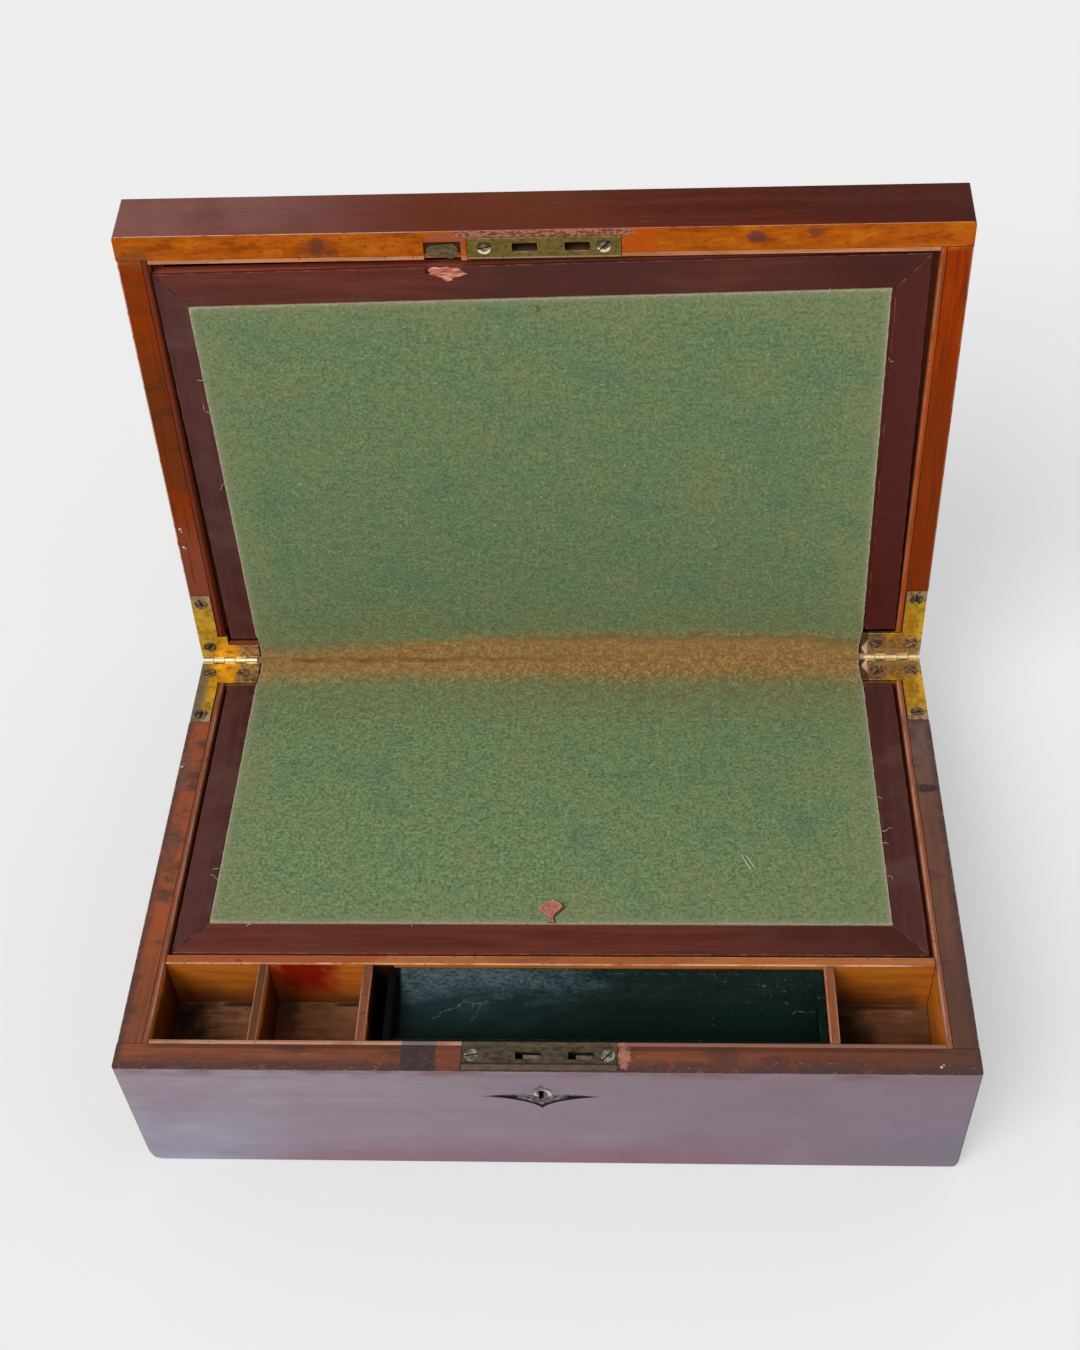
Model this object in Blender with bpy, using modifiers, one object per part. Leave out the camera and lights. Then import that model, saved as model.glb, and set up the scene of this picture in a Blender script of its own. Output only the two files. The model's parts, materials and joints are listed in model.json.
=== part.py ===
"""A mahogany writing slope: a wedge-shaped box with a hinged lid, two baize-covered writing flaps,
a pen section with a loose tray, corner hinges and a box lock. Metres, +Z up, lock side towards -Y."""

import math

import bmesh
import bpy
from mathutils import Matrix

# Overall sizes of the closed box
BOX_WIDTH = 0.356
BOX_DEPTH = 0.241
BOX_HEIGHT = 0.113
LID_FRONT_HEIGHT = 0.0265
LID_OPENING = math.radians(90.0)

# Boards
SIDE_WALL = 0.0105
BACK_WALL = 0.0110
BASE_FRONT_WALL = 0.0125
LID_FRONT_WALL = 0.0112
PANEL_THICKNESS = 0.0060
LINING = 0.0022
BACK_LINING = 0.0040
OUTER_EDGE_RADIUS = 0.0014
OUTER_EDGE_STEPS = 3

# Clearances
JOINT_GAP = 0.0003
RIM_GAP = 0.00025
HINGE_SETBACK = 0.0004
CUT_MARGIN = 0.0020
OVERLAP = 0.0006
HOLE_CLEARANCE = 0.0002
CUTTER_REACH = 0.2
EDGE_TOLERANCE = 0.00003
TURNED_MERGE = 0.00001

# Writing flaps
FLAP_THICKNESS = 0.0060
FLAP_DROP = 0.0015
FLAP_SIDE_CLEARANCE = 0.0006
LOWER_FLAP_SIDE_CLEARANCE = 0.0019
FLAP_FRONT_CLEARANCE = 0.0013
LOWER_FLAP_FRONT_CLEARANCE = 0.0005
FLAP_REAR_CLEARANCE = 0.0002
UPPER_FLAP_SAG = math.radians(0.72)
BORDER_SIDE = 0.0141
BORDER_FRONT = 0.0165
LEDGE_WIDTH = 0.0050
LEDGE_HEIGHT = 0.0060

# Baize
BAIZE_THICKNESS = 0.0010
BAIZE_PROUD = 0.0002
FOLD_BAIZE_DROP = 0.0010
FOLD_BAIZE_START = 0.0006

# Pen section
PEN_SECTION_DEPTH = 0.0395
RAIL_THICKNESS = 0.0046
RAIL_DROP = 0.0010
BAY_DEPTH = 0.0330
BAY_FLOOR_THICKNESS = 0.0040
LEFT_BAY_WIDTH = 0.0410
SECOND_BAY_WIDTH = 0.0413
RIGHT_BAY_WIDTH = 0.0428
DIVIDER_THICKNESS = 0.0042
DIVIDER_DROP = 0.0013

# Pen tray
TRAY_FINGER_GAP = 0.0070
TRAY_END_CLEARANCE = 0.0006
TRAY_SIDE_CLEARANCE = 0.0007
TRAY_DROP = 0.0030
TRAY_LIP = 0.0022
TRAY_END_WALL = 0.0030
TRAY_SCOOP_DEPTH = 0.0110
TRAY_SKIN = 0.0040
TRAY_FOOT = 0.0045

# Hinges
LEAF_THICKNESS = 0.0016
LEAF_DROP = 0.0003
LEAF_INSET = 0.0003
LEAF_ROOT = 0.0010
LEAF_BACK_ARM = 0.0154
LEAF_BACK_LENGTH = 0.0295
LEAF_SIDE_ARM = 0.0426
LEAF_STEPPED_ARM = 0.0098
LEAF_STEP_WIDTH = 0.0042
BARREL_RADIUS = 0.0017
BARREL_INSET = 0.0018
BARREL_OUTER_INSET = 0.0006
BARREL_CLEARANCE = 0.0004
PIN_RADIUS = 0.00075
KNUCKLES = 5
CORNER_SCREW_INSET = 0.0052
CORNER_SCREW_ALONG = 0.0090
ARM_SCREW_ALONG = 0.0376
BACK_SCREW_INSET = 0.0218

# Screws
SCREW_HEAD_RADIUS = 0.0030
SCREW_HEAD_HEIGHT = 0.0016
SCREW_RIM_HEIGHT = 0.0003
SCREW_SHANK_RADIUS = 0.0011
SCREW_LENGTH = 0.0080
SCREW_SLOT_WIDTH = 0.0007
SCREW_SLOT_DEPTH = 0.0007
SCREW_STEPS = 20

# Slot directions of the screws, in radians
LEAF_SCREW_TURNS = {
    ("base", "left"): 0.4,
    ("base", "right"): 2.3,
    ("lid", "left"): 0.9,
    ("lid", "right"): 0.6,
}
LEAF_SCREW_TURN_STEP = 1.0
PLATE_SCREW_TURNS = (0.2, 0.8)

# Lock
PLATE_THICKNESS = 0.0016
PLATE_DROP = 0.0003
BASE_PLATE_X = (-0.0332, 0.0306)
LID_PLATE_X = (-0.0298, 0.0338)
BASE_PLATE_EDGE = 0.0012
LID_PLATE_EDGE = 0.0036
BASE_PLATE_SCREWS_X = (-0.0294, 0.0269)
LID_PLATE_SCREWS_X = (-0.0228, 0.0268)
SLOT_CENTRES_X = (-0.0060, 0.0158)
SLOT_LENGTH = 0.0105
SLOT_WIDTH = 0.0040
LOCK_SKIN = 0.0040
CASE_X = (-0.0250, 0.0235)
CASE_HEIGHT = 0.0380
CASE_WALL = 0.0012
CARRIER_HEIGHT = 0.0090
CARRIER_INSET = 0.0050
CARRIER_CLEARANCE = 0.0006
CARRIER_FLOOR = 0.0030
HOOK_THICKNESS = 0.0023
HOOK_BAR_HEIGHT = 0.0095
HOOK_HEAD_LENGTH = 0.0070
HOOK_HEAD_HEIGHT = 0.0022
HOOK_STEM = 0.0040
HOOK_POCKET_DEPTH = 0.0068
HOOK_POCKET_MARGIN = 0.0034

# Keyhole escutcheon
ESCUTCHEON_X = -0.0010
ESCUTCHEON_DROP = 0.0220
ESCUTCHEON_HALF_LENGTH = 0.0260
ESCUTCHEON_HALF_HEIGHT = 0.0104
ESCUTCHEON_THICKNESS = 0.0012
ESCUTCHEON_CURVE = 0.65
ESCUTCHEON_STEPS = 9
KEYHOLE_RISE = 0.0032
KEYHOLE_RADIUS = 0.0022
KEYHOLE_SLOT_WIDTH = 0.0020
KEYHOLE_SLOT_DROP = 0.0068

# Flap catch
CATCH_X = -0.0370
CATCH_WALL_INSET = 0.0018
CATCH_ARM = 0.0100
CATCH_HEAD_RADIUS = 0.0034
CATCH_TIP_RADIUS = 0.0024
CATCH_THICKNESS = 0.0014
CATCH_DROP = 0.00035
CATCH_PIN_RADIUS = 0.0012
CATCH_PIN_LENGTH = 0.0060
CATCH_POCKET_DROP = 0.0021
CATCH_POCKET_MARGIN = 0.0011
CATCH_ARC_STEPS = 10

# Pull tabs
TAB_X = 0.0013
TAB_WIDTH = 0.0094
TAB_LENGTH = 0.0082
TAB_NECK_WIDTH = 0.0034
TAB_NECK_LENGTH = 0.0026
TAB_THICKNESS = 0.0009
TAB_LIFT = 0.0003
STUB_X = -0.0020
STUB_RADIUS = 0.0013
STUB_ALONG = 0.0046

# Round solids
FINE_STEPS = 24
SCOOP_STEPS = 72

# Derived places
HALF_WIDTH = BOX_WIDTH / 2
FRONT_Y = -BOX_DEPTH / 2
BACK_Y = BOX_DEPTH / 2
HINGE_Y = BACK_Y + HINGE_SETBACK
HINGE_HEIGHT = BOX_HEIGHT / 2
SLOPE = math.atan2(BOX_HEIGHT - LID_FRONT_HEIGHT - HINGE_HEIGHT, BOX_DEPTH)
INNER_X = HALF_WIDTH - SIDE_WALL
LINED_X = INNER_X - JOINT_GAP - LINING
INNER_BACK_Y = BACK_Y - BACK_WALL
BASE_LINED_BACK_Y = INNER_BACK_Y - JOINT_GAP - BACK_LINING
BASE_INNER_FRONT_Y = FRONT_Y + BASE_FRONT_WALL
BASE_LINED_FRONT_Y = BASE_INNER_FRONT_Y + JOINT_GAP + LINING
LID_INNER_FRONT_Y = FRONT_Y + LID_FRONT_WALL
LID_LINED_FRONT_Y = LID_INNER_FRONT_Y + JOINT_GAP + LINING
RAIL_FRONT_Y = BASE_LINED_FRONT_Y + PEN_SECTION_DEPTH
RAIL_BACK_Y = RAIL_FRONT_Y + RAIL_THICKNESS
FLAP_BOTTOM = FLAP_DROP + FLAP_THICKNESS
LEDGE_TOP = FLAP_BOTTOM + JOINT_GAP
LEDGE_BOTTOM = LEDGE_TOP + LEDGE_HEIGHT
BAIZE_DROP = FLAP_DROP - BAIZE_PROUD
LEAF_BOTTOM = LEAF_DROP + LEAF_THICKNESS
PLATE_BOTTOM = PLATE_DROP + PLATE_THICKNESS
LEAF_TIP_X = HALF_WIDTH - LEAF_BACK_LENGTH

# Colour, roughness and metallic of each finish
FINISHES = {
    "polished_mahogany": ((0.120, 0.040, 0.030), 0.38, 0.0),
    "lining_mahogany": ((0.420, 0.170, 0.070), 0.48, 0.0),
    "flap_mahogany": ((0.095, 0.028, 0.022), 0.40, 0.0),
    "bay_pine": ((0.240, 0.120, 0.050), 0.70, 0.0),
    "tray_paint": ((0.010, 0.022, 0.022), 0.45, 0.0),
    "baize": ((0.110, 0.190, 0.095), 0.95, 0.0),
    "brass": ((0.560, 0.370, 0.090), 0.36, 1.0),
    "dull_brass": ((0.240, 0.190, 0.090), 0.50, 1.0),
    "screw_steel": ((0.200, 0.170, 0.130), 0.45, 1.0),
    "horn": ((0.035, 0.032, 0.034), 0.40, 0.0),
    "leather": ((0.420, 0.140, 0.110), 0.75, 0.0),
}


def along(y, depth=0.0):
    """Distance from the hinge line, along the slope, of a vertical face at y, this far under the base rim."""
    return (HINGE_Y - y - depth * math.sin(SLOPE)) / math.cos(SLOPE)


def rim_height(y):
    """Height of the closing plane above the table at this y."""
    return HINGE_HEIGHT + (HINGE_Y - y) * math.tan(SLOPE)


def clear_scene():
    for thing in list(bpy.data.objects):
        bpy.data.objects.remove(thing)


def new_collection(name):
    made = bpy.data.collections.new(name)
    bpy.context.scene.collection.children.link(made)
    return made


def new_finish(name, kind):
    colour, roughness, metallic = FINISHES[kind]
    finish = bpy.data.materials.new(name + "_finish")
    finish.use_nodes = True
    shader = finish.node_tree.nodes["Principled BSDF"]
    shader.inputs["Base Color"].default_value = (*colour, 1.0)
    shader.inputs["Roughness"].default_value = roughness
    shader.inputs["Metallic"].default_value = metallic
    finish.diffuse_color = (*colour, 1.0)
    return finish


def new_frame(name, parent=None, location=(0.0, 0.0, 0.0), rotation=(0.0, 0.0, 0.0)):
    frame = bpy.data.objects.new(name, None)
    frame.parent = parent
    frame.location = location
    frame.rotation_euler = rotation
    PARTS.objects.link(frame)
    return frame


def new_object(name, mesh, parent, location, kind):
    """A named part with its own finish, or a hidden helper when no finish is given."""
    thing = bpy.data.objects.new(name, mesh)
    thing.parent = parent
    thing.location = location
    if kind is None:
        thing.hide_render = True
        thing.display_type = "WIRE"
        CUTTERS.objects.link(thing)
    else:
        mesh.materials.append(new_finish(name, kind))
        PARTS.objects.link(thing)
    return thing


def mesh_from(name, shape):
    bmesh.ops.recalc_face_normals(shape, faces=shape.faces)
    mesh = bpy.data.meshes.new(name)
    shape.to_mesh(mesh)
    shape.free()
    return mesh


def edge_side(edge):
    """Which edge of a box this is: the sign of its middle on each axis, 0 along the edge."""
    middle = (edge.verts[0].co + edge.verts[1].co) / 2
    return tuple(0 if abs(part) < EDGE_TOLERANCE else int(math.copysign(1, part)) for part in middle)


def box(name, low, high, kind=None, parent=None, rounded=(), radius=OUTER_EDGE_RADIUS):
    """A box between two corners of its parent's frame, with the listed edges rounded."""
    size = [b - a for a, b in zip(low, high)]
    shape = bmesh.new()
    bmesh.ops.create_cube(shape, size=1.0, matrix=Matrix.Diagonal((*size, 1.0)))
    edges = [edge for edge in shape.edges if edge_side(edge) in rounded]
    if edges:
        bmesh.ops.bevel(
            shape, geom=edges, offset=radius, segments=OUTER_EDGE_STEPS, profile=0.5, affect="EDGES"
        )
    centre = [(a + b) / 2 for a, b in zip(low, high)]
    return new_object(name, mesh_from(name, shape), parent, centre, kind)


def lid_box(name, low, high, kind=None, rounded=()):
    """A box of the lid, given where it lies when the lid is shut."""
    shift = (0.0, HINGE_Y, HINGE_HEIGHT)
    low = [a - b for a, b in zip(low, shift)]
    high = [a - b for a, b in zip(high, shift)]
    return box(name, low, high, kind, LID, rounded)


def rim_corners(rim, x, d, h):
    """Box corners from x, distance from the frame's fold line and depth below its surface."""
    depths = sorted(rim["into"] * value for value in h)
    return (x[0], -d[1], depths[0]), (x[1], -d[0], depths[1])


def rim_box(name, rim, x, d, h, kind=None):
    low, high = rim_corners(rim, x, d, h)
    return box(name, low, high, kind, rim["frame"])


def rim_plate(name, rim, outline, h, kind=None):
    """A flat outline of (x, distance from the fold line), extruded through the given depths."""
    shape = bmesh.new()
    depths = [rim["into"] * value for value in h]
    points = [shape.verts.new((x, -d, depths[0])) for x, d in outline]
    face = shape.faces.new(points)
    grown = bmesh.ops.extrude_face_region(shape, geom=[face])["geom"]
    moved = [item for item in grown if isinstance(item, bmesh.types.BMVert)]
    bmesh.ops.translate(shape, verts=moved, vec=(0.0, 0.0, depths[1] - depths[0]))
    return new_object(name, mesh_from(name, shape), rim["frame"], (0.0, 0.0, 0.0), kind)


def rod(name, radius, length, turn, location, parent=None, kind=None, steps=FINE_STEPS):
    """A round bar along Z, turned by the given matrix."""
    shape = bmesh.new()
    bmesh.ops.create_cone(
        shape, cap_ends=True, segments=steps, radius1=radius, radius2=radius, depth=length, matrix=turn
    )
    return new_object(name, mesh_from(name, shape), parent, location, kind)


def change(part, operation, others):
    for other in others:
        step = part.modifiers.new(operation.lower() + "_" + other.name, "BOOLEAN")
        step.operation = operation
        step.solver = "EXACT"
        step.object = other


def cut(part, *others):
    change(part, "DIFFERENCE", others)


def join(part, *others):
    change(part, "UNION", others)


def turned(name, profile, rim, x, d, h, kind=None):
    """A profile of (radius, depth) turned about an axis that runs straight into the rim."""
    mesh = bpy.data.meshes.new(name)
    points = [(radius, 0.0, -depth) for radius, depth in profile]
    edges = [(index, index + 1) for index in range(len(points) - 1)]
    mesh.from_pydata(points, edges, [])
    thing = new_object(name, mesh, rim["frame"], (x, -d, rim["into"] * h), kind)
    thing.rotation_euler = (0.0 if rim["into"] < 0 else math.pi, 0.0, 0.0)
    lathe = thing.modifiers.new("turn", "SCREW")
    lathe.axis = "Z"
    lathe.angle = math.tau
    lathe.steps = SCREW_STEPS
    lathe.render_steps = SCREW_STEPS
    lathe.use_merge_vertices = True
    lathe.merge_threshold = TURNED_MERGE
    lathe.use_normal_calculate = True
    return thing


def screw(name, rim, x, d, h, slot_turn, *holed):
    """A slotted countersunk screw at depth h, and its hole through the pieces it fastens."""
    bottom = SCREW_RIM_HEIGHT + SCREW_HEAD_HEIGHT
    profile = [
        (0.0, 0.0),
        (SCREW_HEAD_RADIUS, 0.0),
        (SCREW_HEAD_RADIUS, SCREW_RIM_HEIGHT),
        (SCREW_SHANK_RADIUS, bottom),
        (SCREW_SHANK_RADIUS, SCREW_LENGTH),
        (0.0, SCREW_LENGTH),
    ]
    made = turned(name, profile, rim, x, d, h, "screw_steel")
    reach = SCREW_HEAD_RADIUS + CUT_MARGIN
    slot = box(
        name + "_slot_cutter",
        (-reach, -SCREW_SLOT_WIDTH / 2, -SCREW_SLOT_DEPTH),
        (reach, SCREW_SLOT_WIDTH / 2, CUT_MARGIN),
        None,
        made,
    )
    slot.rotation_euler = (0.0, 0.0, slot_turn)
    cut(made, slot)
    hole_profile = [
        (0.0, -CUT_MARGIN),
        (SCREW_HEAD_RADIUS + HOLE_CLEARANCE, -CUT_MARGIN),
        (SCREW_HEAD_RADIUS + HOLE_CLEARANCE, SCREW_RIM_HEIGHT + HOLE_CLEARANCE),
        (SCREW_SHANK_RADIUS + HOLE_CLEARANCE, bottom + HOLE_CLEARANCE),
        (SCREW_SHANK_RADIUS + HOLE_CLEARANCE, SCREW_LENGTH + HOLE_CLEARANCE),
        (0.0, SCREW_LENGTH + HOLE_CLEARANCE),
    ]
    hole = turned(name + "_hole_cutter", hole_profile, rim, x, d, h)
    for part in holed:
        cut(part, hole)
    return made


def mirrored(pair, hand):
    """An x range given for the right-hand side, on the side that hand names."""
    return tuple(sorted(hand * value for value in pair))


# Base box: five boards and the linings inside them
def build_base():
    made = {}
    kind = "polished_mahogany"
    below = ((-1, -1, 0), (1, -1, 0), (0, -1, -1))
    made["front"] = box(
        "base_front_board",
        (-HALF_WIDTH, FRONT_Y, 0.0),
        (HALF_WIDTH, BASE_INNER_FRONT_Y, BOX_HEIGHT),
        kind,
        rounded=below,
    )
    behind = ((-1, 1, 0), (1, 1, 0), (0, 1, -1))
    made["back"] = box(
        "base_back_board",
        (-HALF_WIDTH, INNER_BACK_Y, 0.0),
        (HALF_WIDTH, BACK_Y, BOX_HEIGHT),
        kind,
        rounded=behind,
    )
    for word, hand in (("left", -1), ("right", 1)):
        x = mirrored((INNER_X, HALF_WIDTH), hand)
        made[word] = box(
            f"base_{word}_side",
            (x[0], BASE_INNER_FRONT_Y + JOINT_GAP, 0.0),
            (x[1], INNER_BACK_Y - JOINT_GAP, BOX_HEIGHT),
            kind,
            rounded=((hand, 0, -1),),
        )
        x = mirrored((LINED_X, INNER_X - JOINT_GAP), hand)
        lining = box(
            f"base_{word}_lining",
            (x[0], BASE_INNER_FRONT_Y + JOINT_GAP, PANEL_THICKNESS + JOINT_GAP),
            (x[1], BASE_LINED_BACK_Y - JOINT_GAP, BOX_HEIGHT),
            "lining_mahogany",
        )
        ledge = rim_box(
            f"base_{word}_ledge_shape",
            BASE_RIM,
            mirrored((LINED_X - LEDGE_WIDTH, LINED_X + OVERLAP), hand),
            (along(BASE_LINED_BACK_Y) + JOINT_GAP, along(RAIL_BACK_Y, LEDGE_BOTTOM) - JOINT_GAP),
            (LEDGE_TOP, LEDGE_BOTTOM),
        )
        join(lining, ledge)
        made[word + "_lining"] = lining
    across = LINED_X - JOINT_GAP
    made["front_lining"] = box(
        "base_front_lining",
        (-across, BASE_INNER_FRONT_Y + JOINT_GAP, PANEL_THICKNESS + JOINT_GAP),
        (across, BASE_LINED_FRONT_Y, BOX_HEIGHT),
        "lining_mahogany",
    )
    inside = INNER_X - JOINT_GAP
    made["back_lining"] = box(
        "base_back_lining",
        (-inside, BASE_LINED_BACK_Y, PANEL_THICKNESS + JOINT_GAP),
        (inside, INNER_BACK_Y - JOINT_GAP, BOX_HEIGHT),
        "lining_mahogany",
    )
    above = rim_box(
        "above_base_rim_cutter",
        BASE_RIM,
        (-BOX_WIDTH, BOX_WIDTH),
        (-CUTTER_REACH, BOX_DEPTH + CUTTER_REACH),
        (-CUTTER_REACH, RIM_GAP),
    )
    for part in made.values():
        cut(part, above)
    box(
        "base_bottom_panel",
        (-inside, BASE_INNER_FRONT_Y + JOINT_GAP, 0.0),
        (inside, INNER_BACK_Y - JOINT_GAP, PANEL_THICKNESS),
        "polished_mahogany",
    )
    return made


# Pen section: rail, raised floor, dividers and the loose tray
def build_pen_section():
    across = LINED_X - JOINT_GAP
    rail = box(
        "pen_section_rail",
        (-across, RAIL_FRONT_Y, PANEL_THICKNESS + JOINT_GAP),
        (across, RAIL_BACK_Y, BOX_HEIGHT),
        "lining_mahogany",
    )
    cut(rail, sloped_cutter("rail_top_cutter", RAIL_DROP))
    ledge_reach = LINED_X - LEDGE_WIDTH - JOINT_GAP
    ledge = rim_box(
        "rail_ledge_shape",
        BASE_RIM,
        (-ledge_reach, ledge_reach),
        (along(RAIL_BACK_Y) - LEDGE_WIDTH, along(RAIL_BACK_Y) + RAIL_THICKNESS / 2),
        (LEDGE_TOP, LEDGE_BOTTOM),
    )
    join(rail, ledge)
    floor_top = rim_height(RAIL_FRONT_Y) - RAIL_DROP - BAY_DEPTH
    front_y = BASE_LINED_FRONT_Y + JOINT_GAP
    back_y = RAIL_FRONT_Y - JOINT_GAP
    box(
        "bay_floor",
        (-across, front_y, floor_top - BAY_FLOOR_THICKNESS),
        (across, back_y, floor_top),
        "bay_pine",
    )
    first = -LINED_X + LEFT_BAY_WIDTH
    second = first + DIVIDER_THICKNESS + SECOND_BAY_WIDTH
    third = LINED_X - RIGHT_BAY_WIDTH - DIVIDER_THICKNESS
    top = sloped_cutter("divider_top_cutter", DIVIDER_DROP)
    for word, x in (("first", first), ("second", second), ("third", third)):
        divider = box(
            f"{word}_bay_divider",
            (x, front_y, floor_top + JOINT_GAP),
            (x + DIVIDER_THICKNESS, back_y, BOX_HEIGHT),
            "lining_mahogany",
        )
        cut(divider, top)
    build_tray(
        (second + DIVIDER_THICKNESS + TRAY_FINGER_GAP, third - TRAY_END_CLEARANCE),
        (BASE_LINED_FRONT_Y + TRAY_SIDE_CLEARANCE, RAIL_FRONT_Y - TRAY_SIDE_CLEARANCE),
        floor_top + JOINT_GAP,
    )


def sloped_cutter(name, drop):
    """Everything above a plane this far below the base rim, over the pen section."""
    reach = LINED_X + CUT_MARGIN
    return rim_box(
        name,
        BASE_RIM,
        (-reach, reach),
        (along(RAIL_BACK_Y) - CUT_MARGIN, along(FRONT_Y)),
        (-CUTTER_REACH, drop),
    )


def build_tray(x, y, bottom):
    tray = box("pen_tray", (x[0], y[0], bottom), (x[1], y[1], BOX_HEIGHT), "tray_paint")
    cut(tray, sloped_cutter("tray_top_cutter", TRAY_DROP))
    half_chord = (along(y[0]) - along(y[1])) / 2 - TRAY_LIP
    radius = (half_chord**2 + TRAY_SCOOP_DEPTH**2) / (2 * TRAY_SCOOP_DEPTH)
    middle = (along(y[0]) + along(y[1])) / 2
    rise = radius - TRAY_SCOOP_DEPTH - TRAY_DROP
    scoop = rod(
        "tray_scoop_cutter",
        radius,
        x[1] - x[0] - 2 * TRAY_END_WALL,
        Matrix.Rotation(math.pi / 2, 4, "Y"),
        ((x[0] + x[1]) / 2, -middle, rise),
        BASE_RIM["frame"],
        steps=SCOOP_STEPS,
    )
    scoop_bottom = rim_height((y[0] + y[1]) / 2) - (TRAY_DROP + TRAY_SCOOP_DEPTH) / math.cos(SLOPE)
    hollow = box(
        "tray_hollow_cutter",
        (x[0] + TRAY_FOOT, y[0] - CUT_MARGIN, bottom - CUT_MARGIN),
        (x[1] - TRAY_FOOT, y[1] + CUT_MARGIN, scoop_bottom - TRAY_SKIN),
    )
    cut(tray, scoop, hollow)


# Lid: five boards and the linings inside them, built where they lie when it is shut
def build_lid():
    made = {}
    kind = "polished_mahogany"
    top = BOX_HEIGHT
    made["front"] = lid_box(
        "lid_front_board",
        (-HALF_WIDTH, FRONT_Y, 0.0),
        (HALF_WIDTH, LID_INNER_FRONT_Y, top),
        kind,
        rounded=((-1, -1, 0), (1, -1, 0), (0, -1, 1)),
    )
    made["back"] = lid_box(
        "lid_back_board",
        (-HALF_WIDTH, INNER_BACK_Y, 0.0),
        (HALF_WIDTH, BACK_Y, top),
        kind,
        rounded=((-1, 1, 0), (1, 1, 0), (0, 1, 1)),
    )
    front_y = LID_INNER_FRONT_Y + JOINT_GAP
    back_y = INNER_BACK_Y - JOINT_GAP
    panel_bottom = top - PANEL_THICKNESS
    for word, hand in (("left", -1), ("right", 1)):
        x = mirrored((INNER_X, HALF_WIDTH), hand)
        made[word] = lid_box(
            f"lid_{word}_side",
            (x[0], front_y, 0.0),
            (x[1], back_y, top),
            kind,
            rounded=((hand, 0, 1),),
        )
        x = mirrored((LINED_X, INNER_X - JOINT_GAP), hand)
        lining = lid_box(
            f"lid_{word}_lining",
            (x[0], front_y, 0.0),
            (x[1], back_y, panel_bottom - JOINT_GAP),
            "lining_mahogany",
        )
        ledge = rim_box(
            f"lid_{word}_ledge_shape",
            LID_RIM,
            mirrored((LINED_X - LEDGE_WIDTH, LINED_X + OVERLAP), hand),
            (along(back_y, -LEDGE_BOTTOM) + JOINT_GAP, along(LID_LINED_FRONT_Y) - JOINT_GAP),
            (LEDGE_TOP, LEDGE_BOTTOM),
        )
        join(lining, ledge)
        made[word + "_lining"] = lining
    across = LINED_X - JOINT_GAP
    made["front_lining"] = lid_box(
        "lid_front_lining",
        (-across, front_y, 0.0),
        (across, LID_LINED_FRONT_Y, panel_bottom - JOINT_GAP),
        "lining_mahogany",
    )
    below = rim_box(
        "below_lid_rim_cutter",
        LID_RIM,
        (-BOX_WIDTH, BOX_WIDTH),
        (-CUTTER_REACH, BOX_DEPTH + CUTTER_REACH),
        (-CUTTER_REACH, RIM_GAP),
    )
    for part in made.values():
        cut(part, below)
    inside = INNER_X - JOINT_GAP
    lid_box(
        "lid_top_panel",
        (-inside, front_y, panel_bottom),
        (inside, back_y, top),
        "polished_mahogany",
    )
    return made


# Corner hinges: L-shaped leaves let into both rims, on one pin each
def leaf_outline(hand, arm, grow, root):
    """The leaf seen from above, for the right-hand hinge, or mirrored for the left-hand one."""
    outer = HALF_WIDTH - LEAF_INSET + grow
    inner = INNER_X + LEAF_INSET - grow
    tip = LEAF_TIP_X - grow
    outline = [(outer, root), (outer, LEAF_SIDE_ARM + grow), (inner, LEAF_SIDE_ARM + grow)]
    outline.append((inner, LEAF_BACK_ARM + grow))
    if arm < LEAF_BACK_ARM:
        step = INNER_X - LEAF_STEP_WIDTH - grow
        outline += [(step, LEAF_BACK_ARM + grow), (step, arm + grow)]
    outline += [(tip, arm + grow), (tip, root)]
    return [(hand * x, d) for x, d in outline]


def barrel_rod(name, rim, hand, radius, grow, kind=None):
    low = LEAF_TIP_X + BARREL_INSET - grow
    high = HALF_WIDTH - BARREL_OUTER_INSET + grow
    return rod(
        name,
        radius,
        high - low,
        Matrix.Rotation(math.pi / 2, 4, "Y"),
        (hand * (low + high) / 2, 0.0, 0.0),
        rim["frame"],
        kind,
    )


def knuckle_cutters(name, rim, hand, first):
    """Spaces for the other leaf's knuckles, every second one from the given place."""
    low = LEAF_TIP_X + BARREL_INSET
    high = HALF_WIDTH - BARREL_OUTER_INSET
    pitch = (high - low) / KNUCKLES
    reach = BARREL_RADIUS + BARREL_CLEARANCE
    made = []
    for place in range(first, KNUCKLES, 2):
        start = low + place * pitch - JOINT_GAP / 2
        end = low + (place + 1) * pitch + JOINT_GAP / 2
        if place == 0:
            start = low - CUT_MARGIN
        if place == KNUCKLES - 1:
            end = high + CUT_MARGIN
        made.append(
            rim_box(f"{name}_{place}", rim, mirrored((start, end), hand), (-reach, reach), (-reach, reach))
        )
    return made


def build_hinges(base, lid):
    for word, hand in (("left", -1), ("right", 1)):
        build_leaf("base", word, hand, BASE_RIM, base, LEAF_BACK_ARM, 1)
        arm = LEAF_STEPPED_ARM if hand < 0 else LEAF_BACK_ARM
        build_leaf("lid", word, hand, LID_RIM, lid, arm, 0)


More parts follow.
